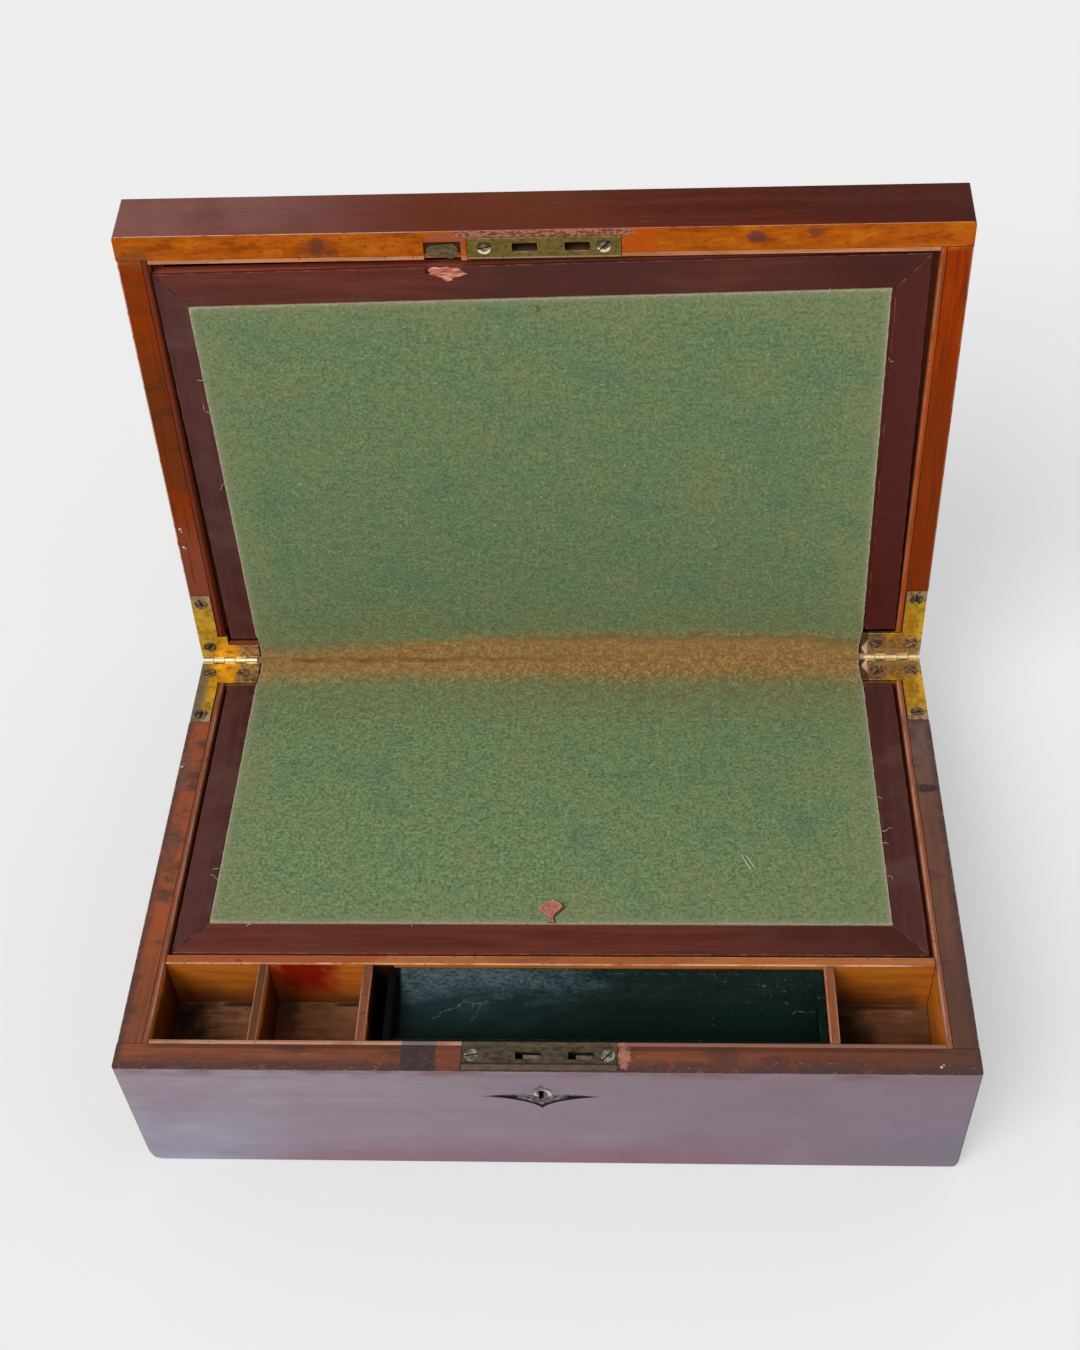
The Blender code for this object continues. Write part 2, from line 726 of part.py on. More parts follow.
def build_leaf(part, word, hand, rim, boards, arm, first_space):
    name = f"{part}_hinge_leaf_{word}"
    leaf = rim_plate(name, rim, leaf_outline(hand, arm, 0.0, LEAF_ROOT), (LEAF_DROP, LEAF_BOTTOM), "brass")
    join(leaf, barrel_rod(f"{name}_barrel_shape", rim, hand, BARREL_RADIUS, 0.0))
    cut(leaf, *knuckle_cutters(f"{name}_space_cutter", rim, hand, first_space))
    if part == "base":
        join(leaf, barrel_rod(f"{name}_pin_shape", rim, hand, PIN_RADIUS, -JOINT_GAP))
    else:
        cut(leaf, barrel_rod(f"{name}_pin_cutter", rim, hand, PIN_RADIUS + HOLE_CLEARANCE, CUT_MARGIN))
    seat_outline = leaf_outline(hand, arm, JOINT_GAP + LEAF_INSET, -CUT_MARGIN)
    seat = rim_plate(f"{name}_seat_cutter", rim, seat_outline, (-CUT_MARGIN, LEAF_BOTTOM + JOINT_GAP))
    barrel_radius = BARREL_RADIUS + BARREL_CLEARANCE
    groove = barrel_rod(f"{name}_groove_cutter", rim, hand, barrel_radius, CUT_MARGIN)
    cut(boards["back"], seat, groove)
    cut(boards[word], seat)
    cut(boards["back_lining"] if part == "base" else boards[word + "_lining"], seat)
    corner_x = hand * (HALF_WIDTH - CORNER_SCREW_INSET)
    places = [
        ("corner", corner_x, CORNER_SCREW_ALONG, boards["back"]),
        ("side", corner_x, ARM_SCREW_ALONG, boards[word]),
    ]
    if arm == LEAF_BACK_ARM:
        places.append(("back", hand * (HALF_WIDTH - BACK_SCREW_INSET), CORNER_SCREW_ALONG, boards["back"]))
    for order, (place, x, d, board) in enumerate(places):
        turn = LEAF_SCREW_TURNS[part, word] + order * LEAF_SCREW_TURN_STEP
        screw(f"{part}_hinge_screw_{word}_{place}", rim, x, d, LEAF_DROP, turn, leaf, board)


# Box lock: case, rising carrier and hooks in the base, slotted plates on both rims
def build_lock(base, lid):
    front, back = FRONT_Y + LOCK_SKIN + JOINT_GAP, BASE_INNER_FRONT_Y - JOINT_GAP
    middle_y = (front + back) / 2
    slot_d = along(middle_y)
    case_top = rim_height(BASE_INNER_FRONT_Y) - PLATE_BOTTOM / math.cos(SLOPE) - JOINT_GAP
    case_bottom = case_top - CASE_HEIGHT
    mortise = box(
        "lock_mortise_cutter",
        (CASE_X[0] - JOINT_GAP, front - JOINT_GAP, case_bottom - JOINT_GAP),
        (CASE_X[1] + JOINT_GAP, BASE_INNER_FRONT_Y + CUT_MARGIN, BOX_HEIGHT),
    )
    cut(base["front"], mortise)
    case = box("lock_case", (CASE_X[0], front, case_bottom), (CASE_X[1], back, case_top), "dull_brass")
    cavity_y = (front + CASE_WALL, back - CASE_WALL)
    cavity_bottom = case_bottom + CASE_WALL
    cavity = box(
        "lock_cavity_cutter",
        (CASE_X[0] + CASE_WALL, cavity_y[0], cavity_bottom),
        (CASE_X[1] - CASE_WALL, cavity_y[1], case_top + CUT_MARGIN),
    )
    cut(case, cavity)
    build_hooks(middle_y, cavity_y, cavity_bottom)
    keyhole = build_escutcheon(base)
    cut(case, *keyhole)
    build_plate("base", BASE_RIM, base, BASE_PLATE_X, BASE_LINED_FRONT_Y, BASE_PLATE_EDGE, slot_d)
    build_plate("lid", LID_RIM, lid, LID_PLATE_X, LID_LINED_FRONT_Y, LID_PLATE_EDGE, slot_d)
    pocket = rim_box(
        "hook_pocket_cutter",
        LID_RIM,
        (SLOT_CENTRES_X[0] - SLOT_LENGTH / 2 - HOOK_POCKET_MARGIN, SLOT_CENTRES_X[1] + SLOT_LENGTH / 2),
        (slot_d - SLOT_WIDTH / 2 - OVERLAP, slot_d + SLOT_WIDTH / 2 + OVERLAP),
        (-CUT_MARGIN, HOOK_POCKET_DEPTH),
    )
    cut(lid["front"], pocket)


def build_hooks(middle_y, cavity_y, cavity_bottom):
    carrier_bottom = cavity_bottom + CARRIER_CLEARANCE
    carrier_top = carrier_bottom + CARRIER_HEIGHT
    carrier = box(
        "lock_carrier",
        (CASE_X[0] + CARRIER_INSET, cavity_y[0] + CARRIER_CLEARANCE, carrier_bottom),
        (CASE_X[1] - CARRIER_INSET, cavity_y[1] - CARRIER_CLEARANCE, carrier_top),
        "dull_brass",
    )
    half = HOOK_THICKNESS / 2
    groove_bottom = carrier_bottom + CARRIER_FLOOR
    groove = box(
        "carrier_groove_cutter",
        (CASE_X[0], middle_y - half - JOINT_GAP, groove_bottom),
        (CASE_X[1], middle_y + half + JOINT_GAP, carrier_top + CUT_MARGIN),
    )
    cut(carrier, groove)
    bar_bottom = groove_bottom + JOINT_GAP
    bar_top = bar_bottom + HOOK_BAR_HEIGHT
    head_top = rim_height(middle_y + half) - PLATE_BOTTOM / math.cos(SLOPE) - JOINT_GAP
    ends = [centre + SLOT_LENGTH / 2 - JOINT_GAP for centre in SLOT_CENTRES_X]
    hooks = box(
        "lock_hooks",
        (ends[0] - HOOK_HEAD_LENGTH, middle_y - half, bar_bottom),
        (ends[1], middle_y + half, bar_top),
        "brass",
    )
    for place, end in enumerate(ends):
        stem = box(
            f"hook_stem_shape_{place}",
            (end - HOOK_STEM, middle_y - half, bar_top - OVERLAP),
            (end, middle_y + half, head_top),
        )
        head = box(
            f"hook_head_shape_{place}",
            (end - HOOK_HEAD_LENGTH, middle_y - half, head_top - HOOK_HEAD_HEIGHT),
            (end, middle_y + half, head_top),
        )
        join(hooks, stem, head)


def escutcheon_outline(grow):
    """A lozenge with hollow sides, as (x, height) about its centre."""
    length = ESCUTCHEON_HALF_LENGTH + grow
    height = ESCUTCHEON_HALF_HEIGHT + grow
    power = 1 / ESCUTCHEON_CURVE
    points = []
    for quarter in range(4):
        for step in range(ESCUTCHEON_STEPS):
            angle = (quarter + step / ESCUTCHEON_STEPS) * math.pi / 2
            cosine, sine = math.cos(angle), math.sin(angle)
            x = math.copysign(abs(cosine) ** (2 * power), cosine) * length
            z = math.copysign(abs(sine) ** (2 * power), sine) * height
            points.append((x, z))
    return points


def upright_plate(name, outline, y, location, kind=None):
    """A flat outline of (x, height), extruded between two depths behind the front face."""
    shape = bmesh.new()
    face = shape.faces.new([shape.verts.new((x, y[0], z)) for x, z in outline])
    grown = bmesh.ops.extrude_face_region(shape, geom=[face])["geom"]
    moved = [item for item in grown if isinstance(item, bmesh.types.BMVert)]
    bmesh.ops.translate(shape, verts=moved, vec=(0.0, y[1] - y[0], 0.0))
    return new_object(name, mesh_from(name, shape), None, location, kind)


def build_escutcheon(base):
    centre_z = BOX_HEIGHT - LID_FRONT_HEIGHT - ESCUTCHEON_DROP
    location = (ESCUTCHEON_X, FRONT_Y, centre_z)
    inlay = upright_plate(
        "keyhole_escutcheon", escutcheon_outline(0.0), (0.0, ESCUTCHEON_THICKNESS), location, "horn"
    )
    seat = upright_plate(
        "escutcheon_seat_cutter",
        escutcheon_outline(JOINT_GAP),
        (-CUT_MARGIN, ESCUTCHEON_THICKNESS + JOINT_GAP),
        location,
    )
    cut(base["front"], seat)
    depth = LOCK_SKIN + JOINT_GAP + CASE_WALL + 2 * CUT_MARGIN
    middle_y = FRONT_Y - CUT_MARGIN + depth / 2
    key_z = centre_z + KEYHOLE_RISE
    eye = rod(
        "keyhole_eye_cutter",
        KEYHOLE_RADIUS,
        depth,
        Matrix.Rotation(math.pi / 2, 4, "X"),
        (ESCUTCHEON_X, middle_y, key_z),
    )
    half = KEYHOLE_SLOT_WIDTH / 2
    slot = box(
        "keyhole_slot_cutter",
        (ESCUTCHEON_X - half, middle_y - depth / 2, key_z - KEYHOLE_SLOT_DROP),
        (ESCUTCHEON_X + half, middle_y + depth / 2, key_z),
    )
    cut(inlay, eye, slot)
    cut(base["front"], eye, slot)
    return eye, slot


def build_plate(part, rim, boards, x, lined_front_y, edge, slot_d):
    d = (along(lined_front_y) + JOINT_GAP, along(FRONT_Y) - edge)
    plate = rim_box(f"{part}_lock_plate", rim, x, d, (PLATE_DROP, PLATE_BOTTOM), "dull_brass")
    seat = rim_box(
        f"{part}_plate_seat_cutter",
        rim,
        (x[0] - JOINT_GAP, x[1] + JOINT_GAP),
        (d[0] - CUT_MARGIN, d[1] + JOINT_GAP),
        (-CUT_MARGIN, PLATE_BOTTOM + JOINT_GAP),
    )
    cut(boards["front"], seat)
    cut(boards["front_lining"], seat)
    for place, centre in enumerate(SLOT_CENTRES_X):
        slot = rim_box(
            f"{part}_plate_slot_cutter_{place}",
            rim,
            (centre - SLOT_LENGTH / 2, centre + SLOT_LENGTH / 2),
            (slot_d - SLOT_WIDTH / 2, slot_d + SLOT_WIDTH / 2),
            (-CUT_MARGIN, PLATE_BOTTOM + CUT_MARGIN),
        )
        cut(plate, slot)
    screws_x = BASE_PLATE_SCREWS_X if part == "base" else LID_PLATE_SCREWS_X
    for word, screw_x, turn in zip(("left", "right"), screws_x, PLATE_SCREW_TURNS):
        screw(f"{part}_lock_screw_{word}", rim, screw_x, slot_d, PLATE_DROP, turn, plate, boards["front"])


# Writing flaps: a board with a bare border, its baize and its pull tab
def build_flap(word, flap, half_width, length):
    reach = half_width - BORDER_SIDE
    front = length - BORDER_FRONT
    top = BAIZE_PROUD
    board = rim_box(
        f"{word}_flap_board",
        flap,
        (-half_width, half_width),
        (FLAP_REAR_CLEARANCE, length),
        (top, top + FLAP_THICKNESS),
        "flap_mahogany",
    )
    bed = rim_box(
        f"{word}_baize_bed_cutter",
        flap,
        (-reach - JOINT_GAP, reach + JOINT_GAP),
        (-CUT_MARGIN, front + JOINT_GAP),
        (-CUT_MARGIN, BAIZE_THICKNESS + JOINT_GAP),
    )
    cut(board, bed)
    rim_box(
        f"{word}_flap_baize",
        flap,
        (-reach, reach),
        (FLAP_REAR_CLEARANCE + JOINT_GAP, front),
        (0.0, BAIZE_THICKNESS),
        "baize",
    )
    return board, front


def build_flaps():
    lower_length = along(RAIL_BACK_Y, FLAP_BOTTOM) - LOWER_FLAP_FRONT_CLEARANCE - LOWER_AXIS_D
    _, front = build_flap("lower", LOWER_FLAP, LINED_X - LOWER_FLAP_SIDE_CLEARANCE, lower_length)
    neck, half = TAB_NECK_WIDTH / 2, TAB_WIDTH / 2
    root = front - JOINT_GAP
    shoulder = root - TAB_NECK_LENGTH
    outline = [
        (TAB_X - neck, root),
        (TAB_X + neck, root),
        (TAB_X + neck, shoulder),
        (TAB_X + half, shoulder - TAB_LENGTH / 2),
        (TAB_X + neck, shoulder - TAB_LENGTH),
        (TAB_X - neck, shoulder - TAB_LENGTH),
        (TAB_X - half, shoulder - TAB_LENGTH / 2),
        (TAB_X - neck, shoulder),
    ]
    rim_plate("lower_pull_tab", LOWER_FLAP, outline, (-TAB_LIFT - TAB_THICKNESS, -TAB_LIFT), "leather")
    board, front = build_flap("upper", UPPER_FLAP, UPPER_HALF_WIDTH, UPPER_LENGTH)
    stub = rod(
        "upper_tab_stub",
        STUB_RADIUS,
        TAB_THICKNESS,
        Matrix.Identity(4),
        (STUB_X, STUB_ALONG - front, -TAB_LIFT - TAB_THICKNESS / 2),
        UPPER_FLAP["frame"],
        "leather",
    )
    stub.rotation_euler = (0.0, 0.0, math.pi / FINE_STEPS)
    return board


# Cloth between the hinges: a strip of baize glued along each back rim
def build_fold_baize(base, lid):
    reach = LEAF_TIP_X - 2 * JOINT_GAP
    top = FOLD_BAIZE_DROP
    ends = {"base": along(BASE_LINED_BACK_Y) - JOINT_GAP, "lid": along(INNER_BACK_Y) - JOINT_GAP}
    for part, rim, boards in (("base", BASE_RIM, base), ("lid", LID_RIM, lid)):
        rim_box(
            f"{part}_fold_baize",
            rim,
            (-reach, reach),
            (FOLD_BAIZE_START, ends[part]),
            (top, top + BAIZE_THICKNESS),
            "baize",
        )
        bed = rim_box(
            f"{part}_fold_bed_cutter",
            rim,
            (-reach - JOINT_GAP, reach + JOINT_GAP),
            (-CUT_MARGIN, ends[part] + CUT_MARGIN),
            (-CUT_MARGIN, top + BAIZE_THICKNESS + JOINT_GAP),
        )
        cut(boards["back"], bed)
        if part == "base":
            cut(boards["back_lining"], bed)


# Turning catch on the lid rim that keeps the upper flap shut
def build_catch(lid, flap_board):
    head, tip = CATCH_HEAD_RADIUS, CATCH_TIP_RADIUS
    outline = []
    for step in range(CATCH_ARC_STEPS + 1):
        angle = -math.pi / 2 + math.pi * step / CATCH_ARC_STEPS
        outline.append((head * math.cos(angle), head * math.sin(angle)))
    for step in range(CATCH_ARC_STEPS + 1):
        angle = math.pi / 2 + math.pi * step / CATCH_ARC_STEPS
        outline.append((tip - CATCH_ARM + tip * math.cos(angle), tip * math.sin(angle)))
    bottom = CATCH_DROP + CATCH_THICKNESS
    catch = rim_plate("flap_catch", CATCH, outline, (CATCH_DROP, bottom), "dull_brass")
    pin_length = CATCH_PIN_LENGTH + OVERLAP
    pin_middle = (0.0, 0.0, LID_RIM["into"] * (bottom - OVERLAP + pin_length / 2))
    upright = Matrix.Identity(4)
    join(catch, rod("catch_pin_shape", CATCH_PIN_RADIUS, pin_length, upright, pin_middle, CATCH["frame"]))
    hole = rod(
        "catch_pin_cutter",
        CATCH_PIN_RADIUS + HOLE_CLEARANCE,
        pin_length + 2 * CUT_MARGIN,
        upright,
        pin_middle,
        CATCH["frame"],
    )
    margin = CATCH_POCKET_MARGIN
    pocket = rim_box(
        "catch_pocket_cutter",
        CATCH,
        (-CATCH_ARM - margin, head + margin),
        (-CATCH_ARM - margin, head + margin),
        (-CUT_MARGIN, CATCH_POCKET_DROP),
    )
    cut(lid["front"], pocket, hole)
    cut(lid["front_lining"], pocket, hole)
    cut(flap_board, pocket)


clear_scene()
PARTS = new_collection("writing_slope")
CUTTERS = new_collection("writing_slope_cutters")

# Frames on the joints: the lid turns on the hinge line, each flap on its rear edge
HINGE_PLACE = (0.0, HINGE_Y, HINGE_HEIGHT)
TILT = (-SLOPE, 0.0, 0.0)
BASE_RIM = {"frame": new_frame("base_rim_frame", None, HINGE_PLACE, TILT), "into": -1}
LID = new_frame("lid_hinge_frame", None, HINGE_PLACE, (-LID_OPENING, 0.0, 0.0))
LID_RIM = {"frame": new_frame("lid_rim_frame", LID, (0.0, 0.0, 0.0), TILT), "into": 1}

LOWER_AXIS_D = along(BASE_LINED_BACK_Y) + JOINT_GAP
LOWER_FLAP = {
    "frame": new_frame("lower_flap_frame", BASE_RIM["frame"], (0.0, -LOWER_AXIS_D, -BAIZE_DROP)),
    "into": -1,
}

# The upper flap has dropped a little at its left end, so its frame is turned in the lid's rim
LEAN = math.sin(UPPER_FLAP_SAG)
UPPER_AXIS_D = along(INNER_BACK_Y, -FLAP_BOTTOM) + JOINT_GAP + LINED_X * LEAN
UPPER_FRONT_D = along(LID_LINED_FRONT_Y) - FLAP_FRONT_CLEARANCE - LINED_X * LEAN
UPPER_LENGTH = UPPER_FRONT_D - UPPER_AXIS_D
UPPER_SHIFT = UPPER_LENGTH * LEAN / 2
UPPER_HALF_WIDTH = LINED_X - FLAP_SIDE_CLEARANCE - UPPER_SHIFT
UPPER_FLAP = {
    "frame": new_frame(
        "upper_flap_frame",
        LID_RIM["frame"],
        (UPPER_SHIFT, -UPPER_AXIS_D, BAIZE_DROP),
        (0.0, 0.0, -UPPER_FLAP_SAG),
    ),
    "into": 1,
}
CATCH_D = along(LID_INNER_FRONT_Y) + CATCH_WALL_INSET
CATCH = {"frame": new_frame("flap_catch_frame", LID_RIM["frame"], (CATCH_X, -CATCH_D, 0.0)), "into": 1}

BASE = build_base()
build_pen_section()
LID_BOARDS = build_lid()
build_hinges(BASE, LID_BOARDS)
build_lock(BASE, LID_BOARDS)
build_fold_baize(BASE, LID_BOARDS)
build_catch(LID_BOARDS, build_flaps())
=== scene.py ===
"""Looks of a mahogany writing slope, laid out as an add-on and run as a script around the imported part."""

import functools
import json
import math

import bmesh
import bpy
import numpy as np
from mathutils import Matrix, Vector, noise

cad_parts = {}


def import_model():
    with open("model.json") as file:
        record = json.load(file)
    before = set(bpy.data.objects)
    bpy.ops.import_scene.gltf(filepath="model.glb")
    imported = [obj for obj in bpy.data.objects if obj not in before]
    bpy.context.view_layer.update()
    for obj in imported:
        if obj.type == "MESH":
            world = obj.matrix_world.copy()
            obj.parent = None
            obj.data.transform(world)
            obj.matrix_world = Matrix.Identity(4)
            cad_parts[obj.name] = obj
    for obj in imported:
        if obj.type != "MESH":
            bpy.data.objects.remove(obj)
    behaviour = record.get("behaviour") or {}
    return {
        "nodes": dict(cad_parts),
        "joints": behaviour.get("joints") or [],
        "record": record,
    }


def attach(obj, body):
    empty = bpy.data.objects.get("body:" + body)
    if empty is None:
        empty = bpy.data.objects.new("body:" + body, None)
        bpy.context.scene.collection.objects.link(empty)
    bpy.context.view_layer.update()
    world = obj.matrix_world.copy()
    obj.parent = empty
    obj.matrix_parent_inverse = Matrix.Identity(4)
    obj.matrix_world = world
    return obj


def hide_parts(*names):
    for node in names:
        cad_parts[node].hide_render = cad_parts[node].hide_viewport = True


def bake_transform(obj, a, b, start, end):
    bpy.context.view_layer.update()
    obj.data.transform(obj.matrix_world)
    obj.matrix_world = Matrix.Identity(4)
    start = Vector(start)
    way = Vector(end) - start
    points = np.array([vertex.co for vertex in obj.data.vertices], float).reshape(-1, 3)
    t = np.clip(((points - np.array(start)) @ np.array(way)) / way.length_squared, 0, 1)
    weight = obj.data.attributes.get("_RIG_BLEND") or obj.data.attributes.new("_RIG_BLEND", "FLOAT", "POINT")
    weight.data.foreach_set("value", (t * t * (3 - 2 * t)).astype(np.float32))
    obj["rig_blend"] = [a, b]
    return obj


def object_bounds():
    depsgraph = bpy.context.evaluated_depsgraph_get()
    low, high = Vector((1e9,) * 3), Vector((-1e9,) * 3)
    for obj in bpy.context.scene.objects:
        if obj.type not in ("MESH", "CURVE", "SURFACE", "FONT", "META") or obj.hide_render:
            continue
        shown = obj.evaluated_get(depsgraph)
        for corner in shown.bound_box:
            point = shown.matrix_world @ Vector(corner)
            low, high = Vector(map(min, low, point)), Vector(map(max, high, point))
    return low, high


bl_info = {
    "name": "Writing slope looks",
    "version": (1, 0, 0),
    "blender": (4, 5, 0),
    "location": "3D View > Sidebar > Writing slope",
    "description": "Dresses the packed writing slope in worn mahogany, baize and brass",
    "category": "Object",
}

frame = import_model()
CAD_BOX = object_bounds()
MM = 0.001

# The part's own frames: both rims meet on the hinge line, each flap turns on its rear edge
JOINTS = {joint["name"]: joint for joint in frame["joints"]}
BODY_OF = {node: body for body, nodes in frame["record"]["behaviour"]["bodies"].items() for node in nodes}
RIM_RISE, BOX_DEPTH = 0.030, 0.241
SLOPE = math.atan2(RIM_RISE, BOX_DEPTH)
SINE, COSINE = math.sin(SLOPE), math.cos(SLOPE)


def surface(place, across, along, into):
    """A frame of (x, distance from the fold line, depth into the piece), as a matrix."""
    made = Matrix.Identity(4)
    for column, axis in enumerate((across, along, into, place)):
        made.col[column][:3] = axis
    return made


def joint_place(name):
    return JOINTS[name]["pos_m"]


BASE_AXES = ((1, 0, 0), (0, -COSINE, SINE), (0, -SINE, -COSINE))
BASE_RIM = surface(joint_place("lid_hinge"), *BASE_AXES)
LID_RIM = surface(joint_place("lid_hinge"), (1, 0, 0), (0, SINE, COSINE), (0, COSINE, -SINE))
LOWER_FLAP = surface(joint_place("lower_flap_lift"), *BASE_AXES)
UPPER_ACROSS = Vector(JOINTS["upper_flap_swing"]["axis"]).normalized()
UPPER_INTO = Vector((0, COSINE, -SINE))
UPPER_AXES = (UPPER_ACROSS, UPPER_ACROSS.cross(UPPER_INTO), UPPER_INTO)
UPPER_FLAP = surface(joint_place("upper_flap_swing"), *UPPER_AXES)
RIMS = dict.fromkeys(("base", "lower_flap", "tray", "carrier", "hooks"), BASE_RIM)
RIMS.update(dict.fromkeys(("lid", "upper_flap", "catch"), LID_RIM))


def local(points, rim):
    """Row-frame points as (x, distance, depth) of a rim or flap."""
    turn = np.array(rim.to_3x3())
    return (np.asarray(points, float) - np.array(rim.translation)) @ turn


def world(points, rim):
    """(x, distance, depth) of a rim or flap as row-frame points."""
    turn = np.array(rim.to_3x3())
    return np.asarray(points, float) @ turn.T + np.array(rim.translation)


def node_span(node, rim):
    """Lowest and highest (x, distance, depth) of a CAD node on a rim or flap."""
    points = local([vertex.co for vertex in frame["nodes"][node].data.vertices], rim)
    return points.min(0), points.max(0)


HALF_WIDTH, BOX_FRONT = CAD_BOX[1][0], CAD_BOX[0][1]
LID_TOP, LID_BACK = CAD_BOX[1][2], CAD_BOX[1][1]


# Settings that a user would change
def length_setting(name, description, default):
    return bpy.props.FloatProperty(name=name, description=description, default=default, unit="LENGTH")


def colour_setting(name, description, default):
    return bpy.props.FloatVectorProperty(
        name=name, description=description, default=default, subtype="COLOR"
    )


class SlopeWood(bpy.types.PropertyGroup):
    """Edges and colours of the wooden pieces."""

    edge_round: length_setting("Edge rounding", "Rounding of worn board edges", 0.0007)
    bead_round: length_setting("Bead rounding", "Rounding of the lining's top edges", 0.0009)
    fine_round: length_setting("Fine rounding", "Rounding of dividers, rail and flaps", 0.0004)
    polish_dark: colour_setting("Dark polish", "Dark streaks of the outer polish", (0.056, 0.008, 0.004))
    polish_light: colour_setting("Light polish", "Light streaks of the outer polish", (0.130, 0.023, 0.008))
    # Hazy polish of the front, together with a painted reflection of the pale floor
    bloom_and_reflection: colour_setting("Bloom", "Pale haze on the polished front", (0.300, 0.245, 0.290))
    honey: colour_setting("Lid rim", "Honey-coloured front rim of the lid", (0.480, 0.105, 0.006))
    rim_red: colour_setting("Lid side rim", "Red-orange side rims of the lid", (0.300, 0.036, 0.003))
    rim_brown: colour_setting("Base rim", "Weathered rim of the base", (0.190, 0.062, 0.030))
    bead: colour_setting("Bead", "Streaks in the linings' top edges, shown darker", (0.420, 0.150, 0.075))
    lining: colour_setting("Lining", "Faces of the linings, rail and dividers", (0.620, 0.190, 0.018))
    border_front: colour_setting("Front border", "Front border strips of the flaps", (0.120, 0.026, 0.016))
    border_side: colour_setting("Side border", "Side border strips of the flaps", (0.080, 0.024, 0.020))
    tray: colour_setting("Tray paint", "Near-black green paint of the pen tray", (0.004, 0.011, 0.009))


class SlopeTrim(bpy.types.PropertyGroup):
    """Baize, leather and metal."""

    baize_thickness: length_setting("Baize thickness", "Thickness of the cloth", 0.0009)
    baize_grid: length_setting("Baize grid", "Size of the cloth's mesh faces", 0.0025)
    thread_radius: length_setting("Thread radius", "Radius of loose threads", 0.00014)
    metal_round: length_setting("Metal rounding", "Rounding of brass edges", 0.0002)
    baize: colour_setting("Baize", "Worn green of the cloth", (0.143, 0.202, 0.092))
    stain: colour_setting("Fold stain", "Orange-brown stain along the fold", (0.385, 0.212, 0.064))
    brass: colour_setting("Hinge brass", "Golden brass of the hinges", (0.560, 0.320, 0.028))
    plate: colour_setting("Plate brass", "Olive brass of the lock plates", (0.180, 0.120, 0.026))
    leather: colour_setting("Leather", "Faded red of the pull tab", (0.420, 0.140, 0.095))


# Shader nodes as expressions
class Link:
    """An output socket that Python's operators work on, each adding a Math node."""

    def __init__(self, tree, socket):
        self.tree = tree
        self.socket = socket

    def math(self, operation, first, second=0.0):
        return self.tree.node("ShaderNodeMath", {"operation": operation}, {0: first, 1: second})

    def __add__(self, other):
        return self.math("ADD", self, other)

    def __sub__(self, other):
        return self.math("SUBTRACT", self, other)

    def __rsub__(self, other):
        return self.math("SUBTRACT", other, self)

    def __mul__(self, other):
        return self.math("MULTIPLY", self, other)

    def __truediv__(self, other):
        return self.math("DIVIDE", self, other)

    def __pow__(self, other):
        return self.math("POWER", self, other)

    def __abs__(self):
        return self.math("ABSOLUTE", self)

    __radd__ = __add__
    __rmul__ = __mul__

    def least(self, other):
        return self.math("MINIMUM", self, other)

    def most(self, other):
        return self.math("MAXIMUM", self, other)


class Tree:
    """The nodes of a material or a world."""

    def __init__(self, owner, shader):
        owner.use_nodes = True
        self.owner = owner
        self.nodes, self.links = owner.node_tree.nodes, owner.node_tree.links
        self.shader = self.nodes[shader]

    def node(self, kind, settings=None, sockets=None, output=0):
        made = self.nodes.new(kind)
        for key, value in (settings or {}).items():
            setattr(made, key, value)
        for key, value in (sockets or {}).items():
            self.feed(made.inputs[key], value)
        return Link(self, made.outputs[output])

    def feed(self, socket, value):
        if isinstance(value, Link):
            self.links.new(value.socket, socket)
        elif socket.type == "RGBA" and len(value) == 3:
            socket.default_value = (*value, 1.0)
        else:
            socket.default_value = value

    def set_sockets(self, **values):
        """Values or links of the shader's own sockets, with _ for each space in a name."""
        for name, value in values.items():
            self.feed(self.shader.inputs[name.replace("_", " ")], value)

    def seen_directly(self):
        """1 for rays from the camera, a reflection or glass, 0 for the light's own bounces."""
        kinds = ("Is Camera Ray", "Is Glossy Ray", "Is Transmission Ray")
        camera, glossy, through = (self.node("ShaderNodeLightPath", output=kind) for kind in kinds)
        return camera.most(glossy).most(through)

    def show(self, other, share, output):
        """Shows another shader instead of the tree's own by a share from 0 to 1."""
        own = Link(self, self.shader.outputs[0])
        mixed = self.node("ShaderNodeMixShader", None, {0: share, 1: own, 2: other})
        self.feed(self.nodes[output].inputs["Surface"], mixed)


